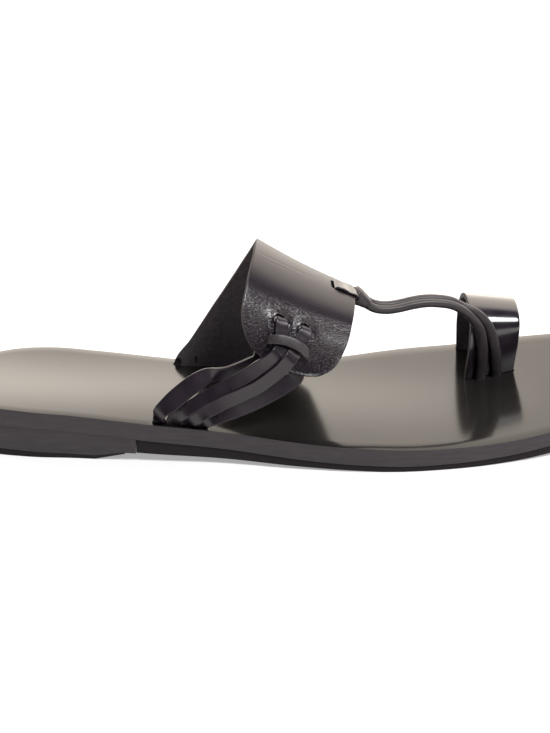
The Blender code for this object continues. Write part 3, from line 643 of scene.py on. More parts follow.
def sweep(name, path, across, size, section, ease=0.0):
    """A strip along a path: a closed section, wide in the across direction, with capped ends."""
    size = np.broadcast_to(np.asarray(size, float), (len(path), 2)) / 2 + ease
    ahead = unit(np.gradient(path, axis=0))
    wide = unit(across - ahead * np.sum(across * ahead, axis=1, keepdims=True))
    thick = np.cross(ahead, wide)
    wide_reach = size[:, :1] * section[:, 0] + section[:, 2]
    thick_reach = size[:, 1:] * section[:, 1] + section[:, 3]
    points = path[:, None] + wide[:, None] * wide_reach[..., None] + thick[:, None] * thick_reach[..., None]
    piece = lay_grid(name, points)
    edit_all(
        piece,
        (bpy.ops.mesh.remove_doubles, {"threshold": 0.001 * MM}),
        (bpy.ops.mesh.fill_holes, {"sides": 0}),
        (bpy.ops.mesh.normals_make_consistent, {"inside": False}),
    )
    return piece


def punch(name, outline, depth):
    """A straight cutter: a flat outline pushed along depth."""
    bpy.ops.object.select_all(action="DESELECT")
    bpy.ops.mesh.primitive_circle_add(vertices=len(outline), radius=1.0, fill_type="NGON")
    tool = bpy.context.object
    tool.name = name
    tool.data.vertices.foreach_set("co", (np.asarray(outline) * MM).astype(np.float32).ravel())
    tool.data.update()
    push = {"value": tuple(np.asarray(depth) * MM)}
    edit_all(
        tool,
        (bpy.ops.mesh.extrude_region_move, {"TRANSFORM_OT_translate": push}),
        (bpy.ops.mesh.normals_make_consistent, {"inside": False}),
    )
    return tool


def strap(name, points, wall, materials):
    """A bent strap with its wall. The materials are for its outer face, cut edge and inner face."""
    piece = lay_grid(name, points)
    for material in materials:
        piece.data.materials.append(material)
    apply_modifier(
        piece, "SOLIDIFY", thickness=wall, offset=-1.0, use_even_offset=True, material_offset=2,
        material_offset_rim=1)
    return piece


def sole_layer(name, first, last, inset, top, underside, fixed=()):
    """A layer of the sole: a grid over the outline, pushed down to its underside."""
    turn = np.linspace(0.0, math.pi, SOLE_STATIONS)
    ends = (PLAN_ENDS[0] + SOLE_END, PLAN_ENDS[1] - SOLE_END)
    spread = ends[0] + (ends[1] - ends[0]) * (1 - np.cos(turn)) / 2
    kept = np.array([s for s in (first, last, *fixed) if ends[0] < s < ends[1]])
    free = [s for s in spread if first < s < last and np.abs(kept - s).min(initial=LENGTH) > SOLE_STEP]
    stations = np.sort(np.concatenate([free, kept]))
    outer = side_points("outer", stations, inset)
    inner = side_points("inner", stations, inset)
    plan = outer[:, None] + (inner - outer)[:, None] * np.linspace(0.0, 1.0, SOLE_ACROSS)[:, None]
    height = top(plan[..., 0], plan[..., 1])
    points = np.concatenate([plan - [LENGTH / 2, 0.0], height[..., None]], -1)
    piece = lay_grid(name, points)
    count = len(piece.data.vertices)
    edit_all(piece, (bpy.ops.mesh.extrude_region_move, {"TRANSFORM_OT_translate": {"value": (0, 0, -MM)}}))
    for corner in piece.data.vertices[count:]:
        corner.co.z = float(underside(corner.co.x / MM + LENGTH / 2)) * MM
    edit_all(piece, (bpy.ops.mesh.normals_make_consistent, {"inside": False}))
    return piece, count


def round_cuts(piece, width):
    """Rounds the sharp edges of a piece."""
    apply_modifier(
        piece, "BEVEL", width=width, segments=2, limit_method="ANGLE", angle_limit=math.radians(SHARP))


def round_rim(piece, count, width):
    """Bevels the sharp edges between the first count points of a mesh."""
    pick(piece)
    bpy.ops.object.mode_set(mode="EDIT")
    bpy.ops.mesh.select_mode(type="EDGE")
    bpy.ops.mesh.select_all(action="DESELECT")
    bpy.ops.mesh.edges_select_sharp(sharpness=math.radians(SHARP))
    bpy.ops.object.mode_set(mode="OBJECT")
    for edge in piece.data.edges:
        edge.select = edge.select and max(edge.vertices) < count
    bpy.ops.object.mode_set(mode="EDIT")
    bpy.ops.mesh.bevel(offset=width, segments=3, profile=0.5, clamp_overlap=True)
    bpy.ops.mesh.select_mode(type="VERT")
    bpy.ops.object.mode_set(mode="OBJECT")


def join(name, strips):
    """Makes one object of several strips, each with its leather."""
    whole = strips[0][0]
    pick(whole)
    for strip, leather in strips:
        strip.data.materials.append(leather)
        strip.select_set(True)
    bpy.ops.object.join()
    whole.name = name
    whole.data.name = name
    return whole


def complete(piece, node, slot, *materials):
    """Smooths a piece, gives it its materials, hangs it on the body and hides its solid."""
    pick(piece)
    bpy.ops.object.shade_smooth_by_angle(angle=math.radians(SMOOTH_BELOW))
    while len(piece.data.materials) < len(materials):
        piece.data.materials.append(None)
    for i, material in enumerate(materials):
        piece.data.materials[i] = material
    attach(piece, BODY)
    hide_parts(node)


def edge_faces(piece):
    """Gives the faces that stand up the second material."""
    for face in piece.data.polygons:
        face.material_index = int(abs(face.normal.z) < STANDING)


# Materials

# Pores, skin, grit, fibre and nap are too fine to show, so they are drawn coarser, 0.5 to 1.4 mm wide
SMOOTHSTEP = {"interpolation_type": "SMOOTHSTEP"}


def plug(tree, node, values=None, links=None):
    """Sets a node's sockets: constant values, and links from the outputs of other nodes."""
    for name, value in (values or {}).items():
        node.inputs[name].default_value = value
    for name, source in (links or {}).items():
        tree.links.new(source, node.inputs[name])


def add(tree, kind, options=None, values=None, links=None, stops=(), out=0):
    """Adds a shader node with its options, socket values, links and colour stops, and returns one output."""
    made = tree.nodes.new("ShaderNode" + kind)
    for name, value in (options or {}).items():
        setattr(made, name, value)
    plug(tree, made, values, links)
    for i, (place, colour) in enumerate(stops):
        stop = made.color_ramp.elements[i]
        stop.position = place
        stop.color = (*colour, 1.0)
    return made.outputs[out]


def new_material(name):
    material = bpy.data.materials.new(name)
    material.use_nodes = True
    tree = material.node_tree
    return material, tree, tree.nodes["Principled BSDF"]


def between(*values):
    """Socket values of a range: from low, from high, to low, to high."""
    return dict(zip(("From Min", "From Max", "To Min", "To Max"), values))


def tones(colour, dark, pale, places=(0.3, 0.7)):
    """Colour stops of a dye that takes unevenly."""
    return [(at, [min(1.0, c * factor) for c in colour]) for at, factor in zip(places, (dark, pale))]


def polished_footbed_leather(name, colours):
    """Vegetable-tanned leather, rolled and waxed: a soft mirror, best at the heel, over streaks and pores."""
    material, tree, shader = new_material(name)
    place = add(tree, "TexCoord", out="Object")
    ahead = add(tree, "SeparateXYZ", links={"Vector": place}, out="X")
    aside = add(tree, "SeparateXYZ", links={"Vector": place}, out="Y")
    off_middle = add(tree, "Math", {"operation": "ABSOLUTE"}, links={0: aside})
    drawn = add(tree, "Mapping", values={"Scale": (per(18.0), per(1.2), per(6.0))}, links={"Vector": place})
    streaks = add(tree, "TexNoise", values={"Scale": 1.0, "Detail": 4.0}, links={"Vector": drawn})
    cloud = add(tree, "TexNoise", values={"Scale": per(26.0), "Detail": 3.0}, links={"Vector": place})
    pores = add(tree, "TexNoise", values={"Scale": per(0.8), "Detail": 2.0}, links={"Vector": place})
    tint = add(tree, "ValToRGB", links={"Fac": cloud}, stops=tones(colours.footbed, 0.8, 1.3))
    worn = add(tree, "MapRange", values=between(-140.0 * MM, 0.0, 0.19, 0.13), links={"Value": ahead})
    uneven = add(tree, "MapRange", values=between(0.3, 0.7, -0.01, 0.01), links={"Value": streaks})
    gloss = add(tree, "Math", {"operation": "ADD"}, links={0: worn, 1: uneven})
    wax_along = add(
        tree, "MapRange", values=between(-140.0 * MM, 110.0 * MM, 0.95, 0.0), links={"Value": ahead})
    wax_across = add(
        tree, "MapRange", SMOOTHSTEP, between(0.0, 45.0 * MM, 1.0, 0.0), {"Value": off_middle})
    wax = add(tree, "Math", {"operation": "MULTIPLY"}, links={0: wax_along, 1: wax_across})
    bump = add(tree, "Bump", values={"Strength": 0.14, "Distance": 0.05 * MM}, links={"Height": pores})
    plug(
        tree, shader, {"IOR": 1.29, "Coat Roughness": 0.15},
        {"Base Color": tint, "Roughness": gloss, "Coat Weight": wax, "Normal": bump})
    return material


def waxed_sole_edge(name, colours):
    """Sanded and waxed cut edge of stacked leather: satin, with faint level lines and a mottled dye."""
    material, tree, shader = new_material(name)
    place = add(tree, "TexCoord", out="Object")
    flat = add(tree, "Mapping", values={"Scale": (per(9.0), per(9.0), per(0.9))}, links={"Vector": place})
    lines = add(tree, "TexNoise", values={"Scale": 1.0, "Detail": 4.0}, links={"Vector": flat})
    grit = add(tree, "TexNoise", values={"Scale": per(0.7), "Detail": 2.0}, links={"Vector": place})
    tint = add(tree, "ValToRGB", links={"Fac": lines}, stops=tones(colours.sole_edge, 0.8, 1.2, (0.35, 0.65)))
    bump = add(tree, "Bump", values={"Strength": 0.25, "Distance": 0.08 * MM}, links={"Height": grit})
    plug(tree, shader, {"Roughness": 0.5}, {"Base Color": tint, "Normal": bump})
    return material


def crinkled_strap_leather(name, colours):
    """Glazed leather: satin over the instep, smooth where slots stretch it, small glints all over its side.

    The real crinkle is finer. Its cells are drawn coarser, so that they show.
    """
    material, tree, shader = new_material(name)
    place = add(tree, "TexCoord", out="Object")
    flat = add(tree, "TexCoord", out="UV")
    girth = add(tree, "SeparateXYZ", links={"Vector": flat}, out="Y")
    per_cell = (FLAT_BAND[0] / CRINKLE[0], FLAT_BAND[1] / CRINKLE[1], 1.0)
    per_streak = (FLAT_BAND[0] / STREAK[0], FLAT_BAND[1] / STREAK[1], 1.0)
    wrinkled = add(tree, "Mapping", values={"Scale": per_cell}, links={"Vector": flat})
    waver = add(
        tree, "TexNoise", values={"Scale": 0.7, "Detail": 2.0}, links={"Vector": wrinkled}, out="Color")
    wavy = add(
        tree, "VectorMath", {"operation": "MULTIPLY_ADD"}, {1: (1.6, 1.6, 0.0)}, {0: waver, 2: wrinkled})
    cells = add(
        tree, "TexVoronoi", {"feature": "DISTANCE_TO_EDGE", "voronoi_dimensions": "2D"}, {"Scale": 1.0},
        {"Vector": wavy}, out="Distance")
    crinkle = add(tree, "MapRange", SMOOTHSTEP, {"From Max": 0.22}, {"Value": cells})
    drawn = add(tree, "Mapping", values={"Scale": per_streak}, links={"Vector": flat})
    streaks = add(tree, "TexNoise", values={"Scale": 1.0, "Detail": 3.0}, links={"Vector": drawn})
    on_side = add(tree, "MapRange", SMOOTHSTEP, between(0.275, 0.14, 0.0, 1.0), {"Value": girth})
    from_slots = [
        add(tree, "VectorMath", {"operation": "DISTANCE"}, {1: tuple(band_surface(*fold) * MM)}, {0: place},
            out="Value")
        for fold in (REAR_FOLD, FRONT_FOLD)]
    nearest = add(tree, "Math", {"operation": "MINIMUM"}, links=dict(enumerate(from_slots)))
    near, far = STRETCHED
    slack = add(tree, "MapRange", SMOOTHSTEP, between(near * MM, far * MM, 0.35, 1.0), {"Value": nearest})
    strength = add(tree, "Math", {"operation": "MULTIPLY"}, links={0: on_side, 1: slack})
    depth = add(tree, "MapRange", values=between(0.22, 0.06, 0.13 * MM, 0.2 * MM), links={"Value": girth})
    ridges = add(tree, "Bump", links={"Height": crinkle, "Strength": strength, "Distance": depth})
    skin = add(
        tree, "Bump", values={"Strength": 0.03, "Distance": 0.1 * MM},
        links={"Height": streaks, "Normal": ridges})
    tint = add(tree, "ValToRGB", links={"Fac": streaks}, stops=tones(colours.strap, 0.8, 1.25))
    satin = add(tree, "MapRange", SMOOTHSTEP, between(0.2, 0.32, 0.2, 0.33), {"Value": girth})
    plug(tree, shader, {"IOR": 1.5}, {"Base Color": tint, "Normal": skin, "Roughness": satin})
    return material


Glaze = namedtuple("Glaze", "dye roughness coat")
GLAZED = {
    # Lace leather, cut thin and glazed: a satin line along its edges
    "lace_leather": Glaze("strap", 0.3, 0.0),
    # Cord leather, rolled and rubbed by wear: a paler, dull shine
    "cord_leather": Glaze("cut_edge", 0.45, 0.0),
    # Ring leather, glazed and lacquered: a clear bright stripe
    "ring_leather": Glaze("strap", 0.2, 0.7),
}


def smooth_strap_leather(name, colours):
    """The same hide, glazed smooth: a clean satin gloss with a fine skin and faint streaks."""
    glaze = GLAZED[name]
    material, tree, shader = new_material(name)
    place = add(tree, "TexCoord", out="Object")
    fine = add(tree, "TexNoise", values={"Scale": per(0.7), "Detail": 3.0}, links={"Vector": place})
    broad = add(tree, "TexNoise", values={"Scale": per(6.0), "Detail": 2.0}, links={"Vector": place})
    tint = add(tree, "ValToRGB", links={"Fac": broad}, stops=tones(getattr(colours, glaze.dye), 0.8, 1.3))
    gloss = add(
        tree, "MapRange", values=between(0.3, 0.7, glaze.roughness - 0.04, glaze.roughness + 0.05),
        links={"Value": broad})
    bump = add(tree, "Bump", values={"Strength": 0.25, "Distance": 0.06 * MM}, links={"Height": fine})
    plug(
        tree, shader, {"IOR": 1.5, "Coat Weight": glaze.coat, "Coat Roughness": 0.12},
        {"Base Color": tint, "Roughness": gloss, "Normal": bump})
    return material


Grain = namedtuple("Grain", "dye size detail dark pale bump depth roughness specular")
GRAINED = {
    # Dyed raw edge of the straps: a paler, dull fibre line
    "dyed_cut_edge": Grain("cut_edge", 0.5, 3.0, 0.75, 1.25, 0.3, 0.06, 0.6, 0.2),
    # Dyed flesh side of the band: dull, a little paler than the grain side, with a short nap
    "flesh_side_suede": Grain("flesh_side", 1.4, 4.0, 0.75, 1.3, 0.4, 0.12, 0.6, 0.5),
    # Moulded sole rubber: dull and dark, with a fine mould grain
    "moulded_rubber": Grain("rubber", 1.0, 4.0, 0.8, 1.25, 0.3, 0.08, 0.7, 0.25),
}


def grained_material(name, colours):
    """A dull material with one grain, which mottles its dye and roughens its face."""
    grain = GRAINED[name]
    material, tree, shader = new_material(name)
    place = add(tree, "TexCoord", out="Object")
    noise = add(
        tree, "TexNoise", values={"Scale": per(grain.size), "Detail": grain.detail}, links={"Vector": place})
    dye = getattr(colours, grain.dye)
    tint = add(tree, "ValToRGB", links={"Fac": noise}, stops=tones(dye, grain.dark, grain.pale))
    bump = add(
        tree, "Bump", values={"Strength": grain.bump, "Distance": grain.depth * MM}, links={"Height": noise})
    plug(
        tree, shader, {"Roughness": grain.roughness, "Specular IOR Level": grain.specular},
        {"Base Color": tint, "Normal": bump})
    return material


def studio_floor(name, colours):
    """Matt studio paper on a lit table, barely mottled: pale soft shadows."""
    material, tree, shader = new_material(name)
    place = add(tree, "TexCoord", out="Object")
    cloud = add(tree, "TexNoise", values={"Scale": per(300.0), "Detail": 1.0}, links={"Vector": place})
    tint = add(tree, "ValToRGB", links={"Fac": cloud}, stops=tones(colours.floor, 0.99, 1.0))
    paper = {
        "Roughness": 0.9, "Specular IOR Level": 0.0,
        "Emission Color": (1.0, 1.0, 1.0, 1.0), "Emission Strength": 0.36}
    plug(tree, shader, paper, {"Base Color": tint})
    return material


MAKERS = {
    "polished_footbed_leather": polished_footbed_leather,
    "waxed_sole_edge": waxed_sole_edge,
    "crinkled_strap_leather": crinkled_strap_leather,
    "studio_floor": studio_floor,
    **dict.fromkeys(GLAZED, smooth_strap_leather),
    **dict.fromkeys(GRAINED, grained_material),
}


def materials_of(*names):
    """Materials by name, each made once and shared by its pieces."""
    colours = bpy.context.scene.sandal_colours
    return [bpy.data.materials.get(name) or MAKERS[name](name, colours) for name in names]


# Routes of laces, cords and slots


def lace_size(sizes):
    return sizes.lace_width / MM, sizes.lace_thickness / MM


def cord_size(sizes):
    return sizes.cord_width / MM, sizes.cord_thickness / MM


def lace_foot_across(x):
    return LACE_FOOT_ACROSS + LACE_FOOT_SLOPE * (x - LACE_FEET[0])


def lace_foot(x):
    """A lace's end, straight down into its slot in the footbed."""
    heights = (-FOOT_DEPTH, -FOOT_DEPTH / 2, LACE_FOOT_STRAIGHT)
    return [Stop(x, lace_foot_across(x), top_at(x) + height, LACE_FOOT_LEAN) for height in heights]


def in_air(stops):
    """Rows of a lace's route: place, way of its width and share of its full width."""
    slant = math.sqrt(0.5)
    return [(stop.x, stop.y, stop.z, slant, -stop.lean, -slant, stop.full) for stop in stops]


def fold_over(place, wall, thickness, back, reach=1.0):
    """Half a turn over the band's edge in a slot, from its inner face to its outer face."""
    point, out, _, _ = band_frame(*place)
    middle = point - out * wall / 2
    radius = wall / 2 + SEAM + thickness / 2
    turns = np.radians([-90, -45, 0, 45, 90])
    return [middle + out * radius * math.sin(t) + back * reach * radius * math.cos(t) for t in turns]


def lace_route(sizes, inner_foot, inner_run, behind_ear, fold, below, outer_run, outer_foot):
    """A lace from its inner foot, up behind the ear, over in its slot and down outside to its outer foot."""
    wall = sizes.wall / MM
    width, thickness = lace_size(sizes)
    behind = -(wall + SEAM + thickness / 2)
    outside = CLOSE + thickness / 2
    _, _, down, toe = band_frame(*fold)
    rows = in_air(lace_foot(inner_foot) + inner_run)
    rows += [(*on_band(*place, behind), *toe, 1.0) for place in behind_ear]
    turned = fold_over(fold, wall, thickness, -down, FOLD_REACH)
    rows += [(*point, *toe, full) for point, full in zip(turned, FOLD_FULL)]
    rows += [(*on_band(*place, outside), *toe, 1.0) for place in below]
    rows += in_air(outer_run + lace_foot(outer_foot)[::-1])
    route = along(rows, LACE_STEP)
    size = np.stack([route[:, 6] * width, np.full(len(route), thickness)], 1)
    return route[:, :3], route[:, 3:6], size


def keeper_route():
    """The keeper goes through the ear at both ends and lies across the two laces."""
    rows = [(*on_band(stop.station, stop.turn, stop.lift), stop.full) for stop in KEEPER_STOPS]
    route = along(rows, SHORT_STEP)
    middle = KEEPER_STOPS[len(KEEPER_STOPS) // 2]
    _, _, down, _ = band_frame(middle.station, middle.turn)
    size = route[:, 3:] * KEEPER
    return route[:, :3], np.tile(down, (len(route), 1)), size


def arch_outline(sizes, place):
    """Outline of a slot with a round top in the band, with room for the lace that turns over in it."""
    width, thickness = lace_size(sizes)
    point, _, down, toe = band_frame(*place)
    half = SLOT_NARROW * width / 2 + SEAM
    height = FOLD_REACH * (sizes.wall / MM + thickness) / 2 + thickness / 2 + SLOT_HEADROOM
    level = SLOT_STRAIGHT * height
    outline = [point - toe * half, point + toe * half]
    for turn in np.linspace(0.0, math.pi, SLOT_ARCH_POINTS):
        up_slot = level + (height - level) * math.sin(turn)
        outline.append(point + toe * half * math.cos(turn) - down * up_slot)
    return np.array(outline)


def thong_outline(sizes):
    """Outline of the slot for the thong's loop, its two back corners cut off."""
    point, _, down, toe = band_frame(*THONG_FOLD)
    half = LOOP[0] / 2 + SEAM
    back = sizes.wall / MM / 2 + 2 * SEAM + LOOP[1] + LOOP_SLOT_SPARE
    narrow, short = LOOP_SLOT_CORNER
    corners = [
        (-half, 0.0), (half, 0.0), (half, short * back),
        (narrow * half, back), (-narrow * half, back), (-half, short * back),
    ]
    return np.array([point + down * a - toe * b for a, b in corners])


def slot_lift(sizes, points, turns, place, outline):
    """How far the leather lifts around a slot: a narrow lip at the rim on a broader pull."""
    point, _, down, toe = band_frame(*place)
    rim = [outline[1] + down * LIP_LEG, *outline[1:], outline[0], outline[0] + down * LIP_LEG]
    far = np.linalg.norm(points[:, :, None] - along(rim, FINE_STEP), axis=-1).min(axis=-1)
    above = np.clip((place.turn - turns) / LIP_FADE, 0.0, 1.0)
    beside = np.clip(np.abs((points - point) @ toe) - np.linalg.norm(outline[1] - point), 0.0, 1.0)
    clear = np.maximum(above, LIP_BESIDE * beside)
    pulled = np.maximum(above, beside) * np.clip((place.turn + SWELL_BELOW - turns) / SWELL_BELOW, 0.0, 1.0)
    lip = sizes.lip / MM * clear * np.exp(-(far / LIP_REACH) ** 2)
    return lip + SWELL * pulled * np.exp(-(far / SWELL_REACH) ** 2)


def edge_lift(points, turns):
    """How far the cut edge of the ear stands up."""
    sides = [points[:, side][turns[:, side] > EAR_TURN] for side in (0, -1)]
    edge = np.concatenate([points[0], *sides])
    far = np.linalg.norm(points[:, :, None] - edge, axis=-1).min(axis=-1)
    near, gone = EDGE_LIP_REACH
    bead = np.clip((gone - far) / (gone - near), 0.0, 1.0)
    return EDGE_LIP * bead * np.clip((turns - EAR_TURN) / EAR_FADE, 0.0, 1.0)


def crease_depth(points, crease):
    """How deep a crease is pressed in, deepest in the middle of its length."""
    start, end = band_surface(*crease.start), band_surface(*crease.end)
    share = np.clip(((points - start) @ (end - start)) / ((end - start) @ (end - start)), 0.0, 1.0)
    far = np.linalg.norm(points - start - share[..., None] * (end - start), axis=-1)
    return crease.depth * np.exp(-(far / crease.width) ** 2) * np.sin(math.pi * share) ** 0.5


def band_punch(name, outline, place):
    _, out, _, _ = band_frame(*place)
    return punch(name, outline + out * PUNCH_REACH, -out * 2 * PUNCH_REACH)


def pressed_size(sizes, path):
    """Size of a cord along its route, pressed flat where it goes down the ring."""
    share = np.interp(path[:, 2], PRESSED_HEIGHTS, (1.0, 0.0))[:, None]
    return np.array(cord_size(sizes)) * (1 + share * (np.array(PRESSED) - 1))


def level_across(path):
    return np.tile([0.0, 1.0, 0.0], (len(path), 1))


def cord_foot(place):
    level = top_at(place[0])
    return [(*place, level), (*place, level - FOOT_DEPTH)]


def cord_routes(sizes):
    """The two cords side by side to the toe, then down the ring's outer face one behind the other."""
    apart = np.array([0.0, (cord_size(sizes)[0] + CORD_GAP) / 2, 0.0])
    higher = np.array([0.0, 0.0, FAR_CORD_HIGHER])
    bridge = np.array(THONG_BRIDGE)
    near = np.concatenate([bridge - apart, NEAR_CORD_DROP, cord_foot(NEAR_CORD_FOOT)])
    far = np.concatenate([bridge + apart + higher, FAR_CORD_DROP, cord_foot(FAR_CORD_FOOT)])
    return along(near, CORD_STEP), along(far, CORD_STEP)


def loop_route(sizes):
    """The loop around the band's front edge: inside it, back through the slot and out along its face."""
    wall = sizes.wall / MM
    _, _, down, toe = band_frame(*THONG_FOLD)
    outside = CLOSE + LOOP[1] / 2
    inside = -(wall + SEAM + LOOP[1] / 2)
    collar = (*COLLAR[2][:3], 0.0, 1.0, 0.0)
    front = [THONG_FOLD.station + more for more in AHEAD_OF_FOLD]
    stops = [on_band(s, THONG_FOLD.turn, inside) for s in front]
    stops += fold_over(THONG_FOLD, wall, LOOP[1], -toe)
    stops += [on_band(s, THONG_FOLD.turn, outside) for s in front[::-1]]
    route = along([collar, *[(*stop, *-down) for stop in stops], collar], SHORT_STEP)
    return route[:, :3], route[:, 3:]


def ring_edges():
    """Rear and front edge of the ring's outer face."""
    rear_level, front_level = top_at(RING_REAR), top_at(RING_FRONT)
    rear = [(RING_REAR + r.ahead, r.rear_across, rear_level + r.rear_height) for r in RING]
    front = [(RING_FRONT + r.ahead, r.front_across, front_level + r.front_height) for r in RING]
    return np.array(rear), np.array(front)


def footbed_cutters(sizes):
    """Slots and holes in the footbed for the ends of band, laces, ring and cords."""
    deep = 2 * (FOOT_DEPTH + SEAM)
    width, thickness = lace_size(sizes)
    tools = []
    xs = np.linspace(LACE_FEET[0] - width / 2 - SEAM, LACE_FEET[3] + width / 2 + SEAM, 6)
    path = np.stack([xs, lace_foot_across(xs), footbed_top(xs + LENGTH / 2)], 1)
    slot = (thickness + 2 * SEAM, deep)
    tools.append(sweep("lace_slot", path, level_across(path), slot, SQUARE))
    stations = np.linspace(BAND[0].rear - SEAM, BAND[1].front + 2 * SEAM, 16)
    wall = sizes.wall / MM
    point, out, _, _ = band_frame(stations, np.full(len(stations), BAND_SLOT_TURN))
    tools.append(sweep("band_slot", point - out * wall / 2, out, (wall + 2 * SEAM, deep), SQUARE))
    rear, front = ring_edges()
    for name, base, inwards in (("ring_slot_near", 1, 1.0), ("ring_slot_far", -2, -1.0)):
        middle = np.array([0.0, inwards * sizes.ring_wall / MM / 2, 0.0])
        margin = unit(front[base] - rear[base]) * SEAM
        path = np.linspace(rear[base] - margin + middle, front[base] + margin + middle, 4)
        slot = (sizes.ring_wall / MM + 2 * SEAM, deep)
        tools.append(sweep(name, path, level_across(path), slot, SQUARE))
    for name, place in (("near_cord_hole", NEAR_CORD_FOOT), ("far_cord_hole", FAR_CORD_FOOT)):
        level = top_at(place[0])
        path = np.array([(*place, level - deep / 2), (*place, level), (*place, level + deep / 2)])
        tools.append(sweep(name, path, level_across(path), pressed_size(sizes, path), CORD, ease=SEAM))
    return tools


# Operators, one for each piece or group


class SANDAL_OT_footbed(bpy.types.Operator):
    """Polished footbed with its waxed edge and the slots for the straps"""

    bl_idname = "sandal.footbed"
    bl_label = "Footbed"

    def execute(self, context):
        sizes = context.scene.sandal_sizes
        piece, count = sole_layer(
            "footbed_leather", 0.0, LENGTH, 0.0, worn_top, footbed_underside, FOREFOOT_FLAT)
        round_rim(piece, count, sizes.rim)
        edge_faces(piece)
        cut(piece, footbed_cutters(sizes))
        materials = materials_of("polished_footbed_leather", "waxed_sole_edge")
        complete(piece, "footbed", "footbed_leather", *materials)
        return {"FINISHED"}


class SANDAL_OT_sole(bpy.types.Operator):
    """Outsole, stacked heel and heel lift"""

    bl_idname = "sandal.sole"
    bl_label = "Outsole and heel"

    def execute(self, context):
        layers = [
            ("outsole_rubber", "outsole", "sole_rubber", "moulded_rubber", HEEL_BREAST + GLUE_LINE, LENGTH,
             OUTSOLE_INSET, under_footbed, tread, FOREFOOT_FLAT),
            ("heel_stack", "heel", "heel_edge_leather", "waxed_sole_edge", 0.0, HEEL_BREAST,
             0.0, under_footbed, heel_underside, (HEEL_FLAT_END, LIFT_END, LIFT_END - SEAM)),
            ("heel_lift_rubber", "heel_lift", "sole_rubber", "moulded_rubber", 0.0, LIFT_END - SEAM,
             0.0, lift_top, lift_underside, (HEEL_FLAT_END,)),
        ]
        for name, node, slot, material, first, last, inset, top, underside, fixed in layers:
            piece, _ = sole_layer(
                name, first, last, inset, lambda station, _, top=top: top(station), underside, fixed)
            round_cuts(piece, SOLE_ROUND * MM)
            complete(piece, node, slot, *materials_of(material))
        return {"FINISHED"}


class SANDAL_OT_instep_band(bpy.types.Operator):
    """Instep band with its slots, lifted slot lips and creases"""

    bl_idname = "sandal.instep_band"
    bl_label = "Instep band"

    def execute(self, context):
        sizes = context.scene.sandal_sizes
        stations, turns = band_places(BAND_ROWS, BAND_COLUMNS)
        points, out, _, _ = band_frame(stations, turns)
        slots = [
            ("rear_slot", REAR_FOLD, arch_outline(sizes, REAR_FOLD)),
            ("front_slot", FRONT_FOLD, arch_outline(sizes, FRONT_FOLD)),
        ]
        lift = np.maximum(*[slot_lift(sizes, points, turns, place, outline) for _, place, outline in slots])
        lift += edge_lift(points, turns)
        for crease in CREASES:
            lift -= crease_depth(points, crease)
        materials = materials_of("crinkled_strap_leather", "dyed_cut_edge", "flesh_side_suede")
        piece = strap("instep_band_leather", points, sizes.wall, materials)
        raise_points(piece, out * lift[..., None])
        slots.append(("thong_slot", THONG_FOLD, thong_outline(sizes)))
        tools = [band_punch(name, outline, place) for name, place, outline in slots]
        path, across, size = keeper_route()
        for name, end in (("keeper_rear", slice(0, KEEPER_HOLE_ROWS)),
                          ("keeper_front", slice(-KEEPER_HOLE_ROWS, None))):
            tools.append(sweep(name, path[end], across[end], size[end], STRIP, ease=SEAM / 2))
        for dent in DENTS:
            point, out, down, _ = band_frame(*dent.place)
            inner_face = -sizes.wall / MM
            path = point + out * np.linspace(inner_face - dent.depth, inner_face + dent.depth, 5)[:, None]
            tools.append(sweep("dent", path, np.tile(down, (5, 1)), (dent.girth, dent.along), CORD))
        cut(piece, tools)
        round_cuts(piece, sizes.cut_round)
        complete(piece, "instep_band", "strap_leather", *materials)
        return {"FINISHED"}


class SANDAL_OT_side_laces(bpy.types.Operator):
    """Two folded laces and the keeper that holds them to the ear"""

    bl_idname = "sandal.side_laces"
    bl_label = "Side laces"

    def execute(self, context):
        sizes = context.scene.sandal_sizes
        rear = lace_route(
            sizes, LACE_FEET[0], LACE_1, BEHIND_REAR, REAR_FOLD, BELOW_REAR, LACE_2, LACE_FEET[1])
        front = lace_route(
            sizes, LACE_FEET[3], LACE_4[::-1], BEHIND_FRONT, FRONT_FOLD, BELOW_FRONT, LACE_3, LACE_FEET[2])
        lace_leather, cord_leather = materials_of("lace_leather", "cord_leather")
        piece = join("side_laces_leather", [
            (sweep("rear_lace", *rear, STRIP), lace_leather),
            (sweep("front_lace", *front, STRIP), lace_leather),
            (sweep("keeper", *keeper_route(), KEEPER_SECTION), cord_leather),
        ])
        complete(piece, "side_laces", "strap_leather", lace_leather, cord_leather)
        return {"FINISHED"}


class SANDAL_OT_toe_thong(bpy.types.Operator):
    """Two cords with their collar and the loop on the band"""

    bl_idname = "sandal.toe_thong"
    bl_label = "Toe thong"

    def execute(self, context):
        sizes = context.scene.sandal_sizes
        near, far = cord_routes(sizes)
        loop, across = loop_route(sizes)
        collar = along(COLLAR, FINE_STEP)
        cord_leather, loop_leather = materials_of("cord_leather", "ring_leather")
        piece = join("toe_thong_leather", [
            (sweep("near_cord", near, level_across(near), pressed_size(sizes, near), CORD), cord_leather),
            (sweep("far_cord", far, level_across(far), pressed_size(sizes, far), CORD), cord_leather),
            (sweep("collar", collar[:, :3], level_across(collar), collar[:, 3:], COLLAR_SECTION),
             cord_leather),
            (sweep("loop", loop, across, LOOP, STRIP), loop_leather),
        ])
        complete(piece, "toe_thong", "strap_leather", cord_leather, loop_leather)
        return {"FINISHED"}


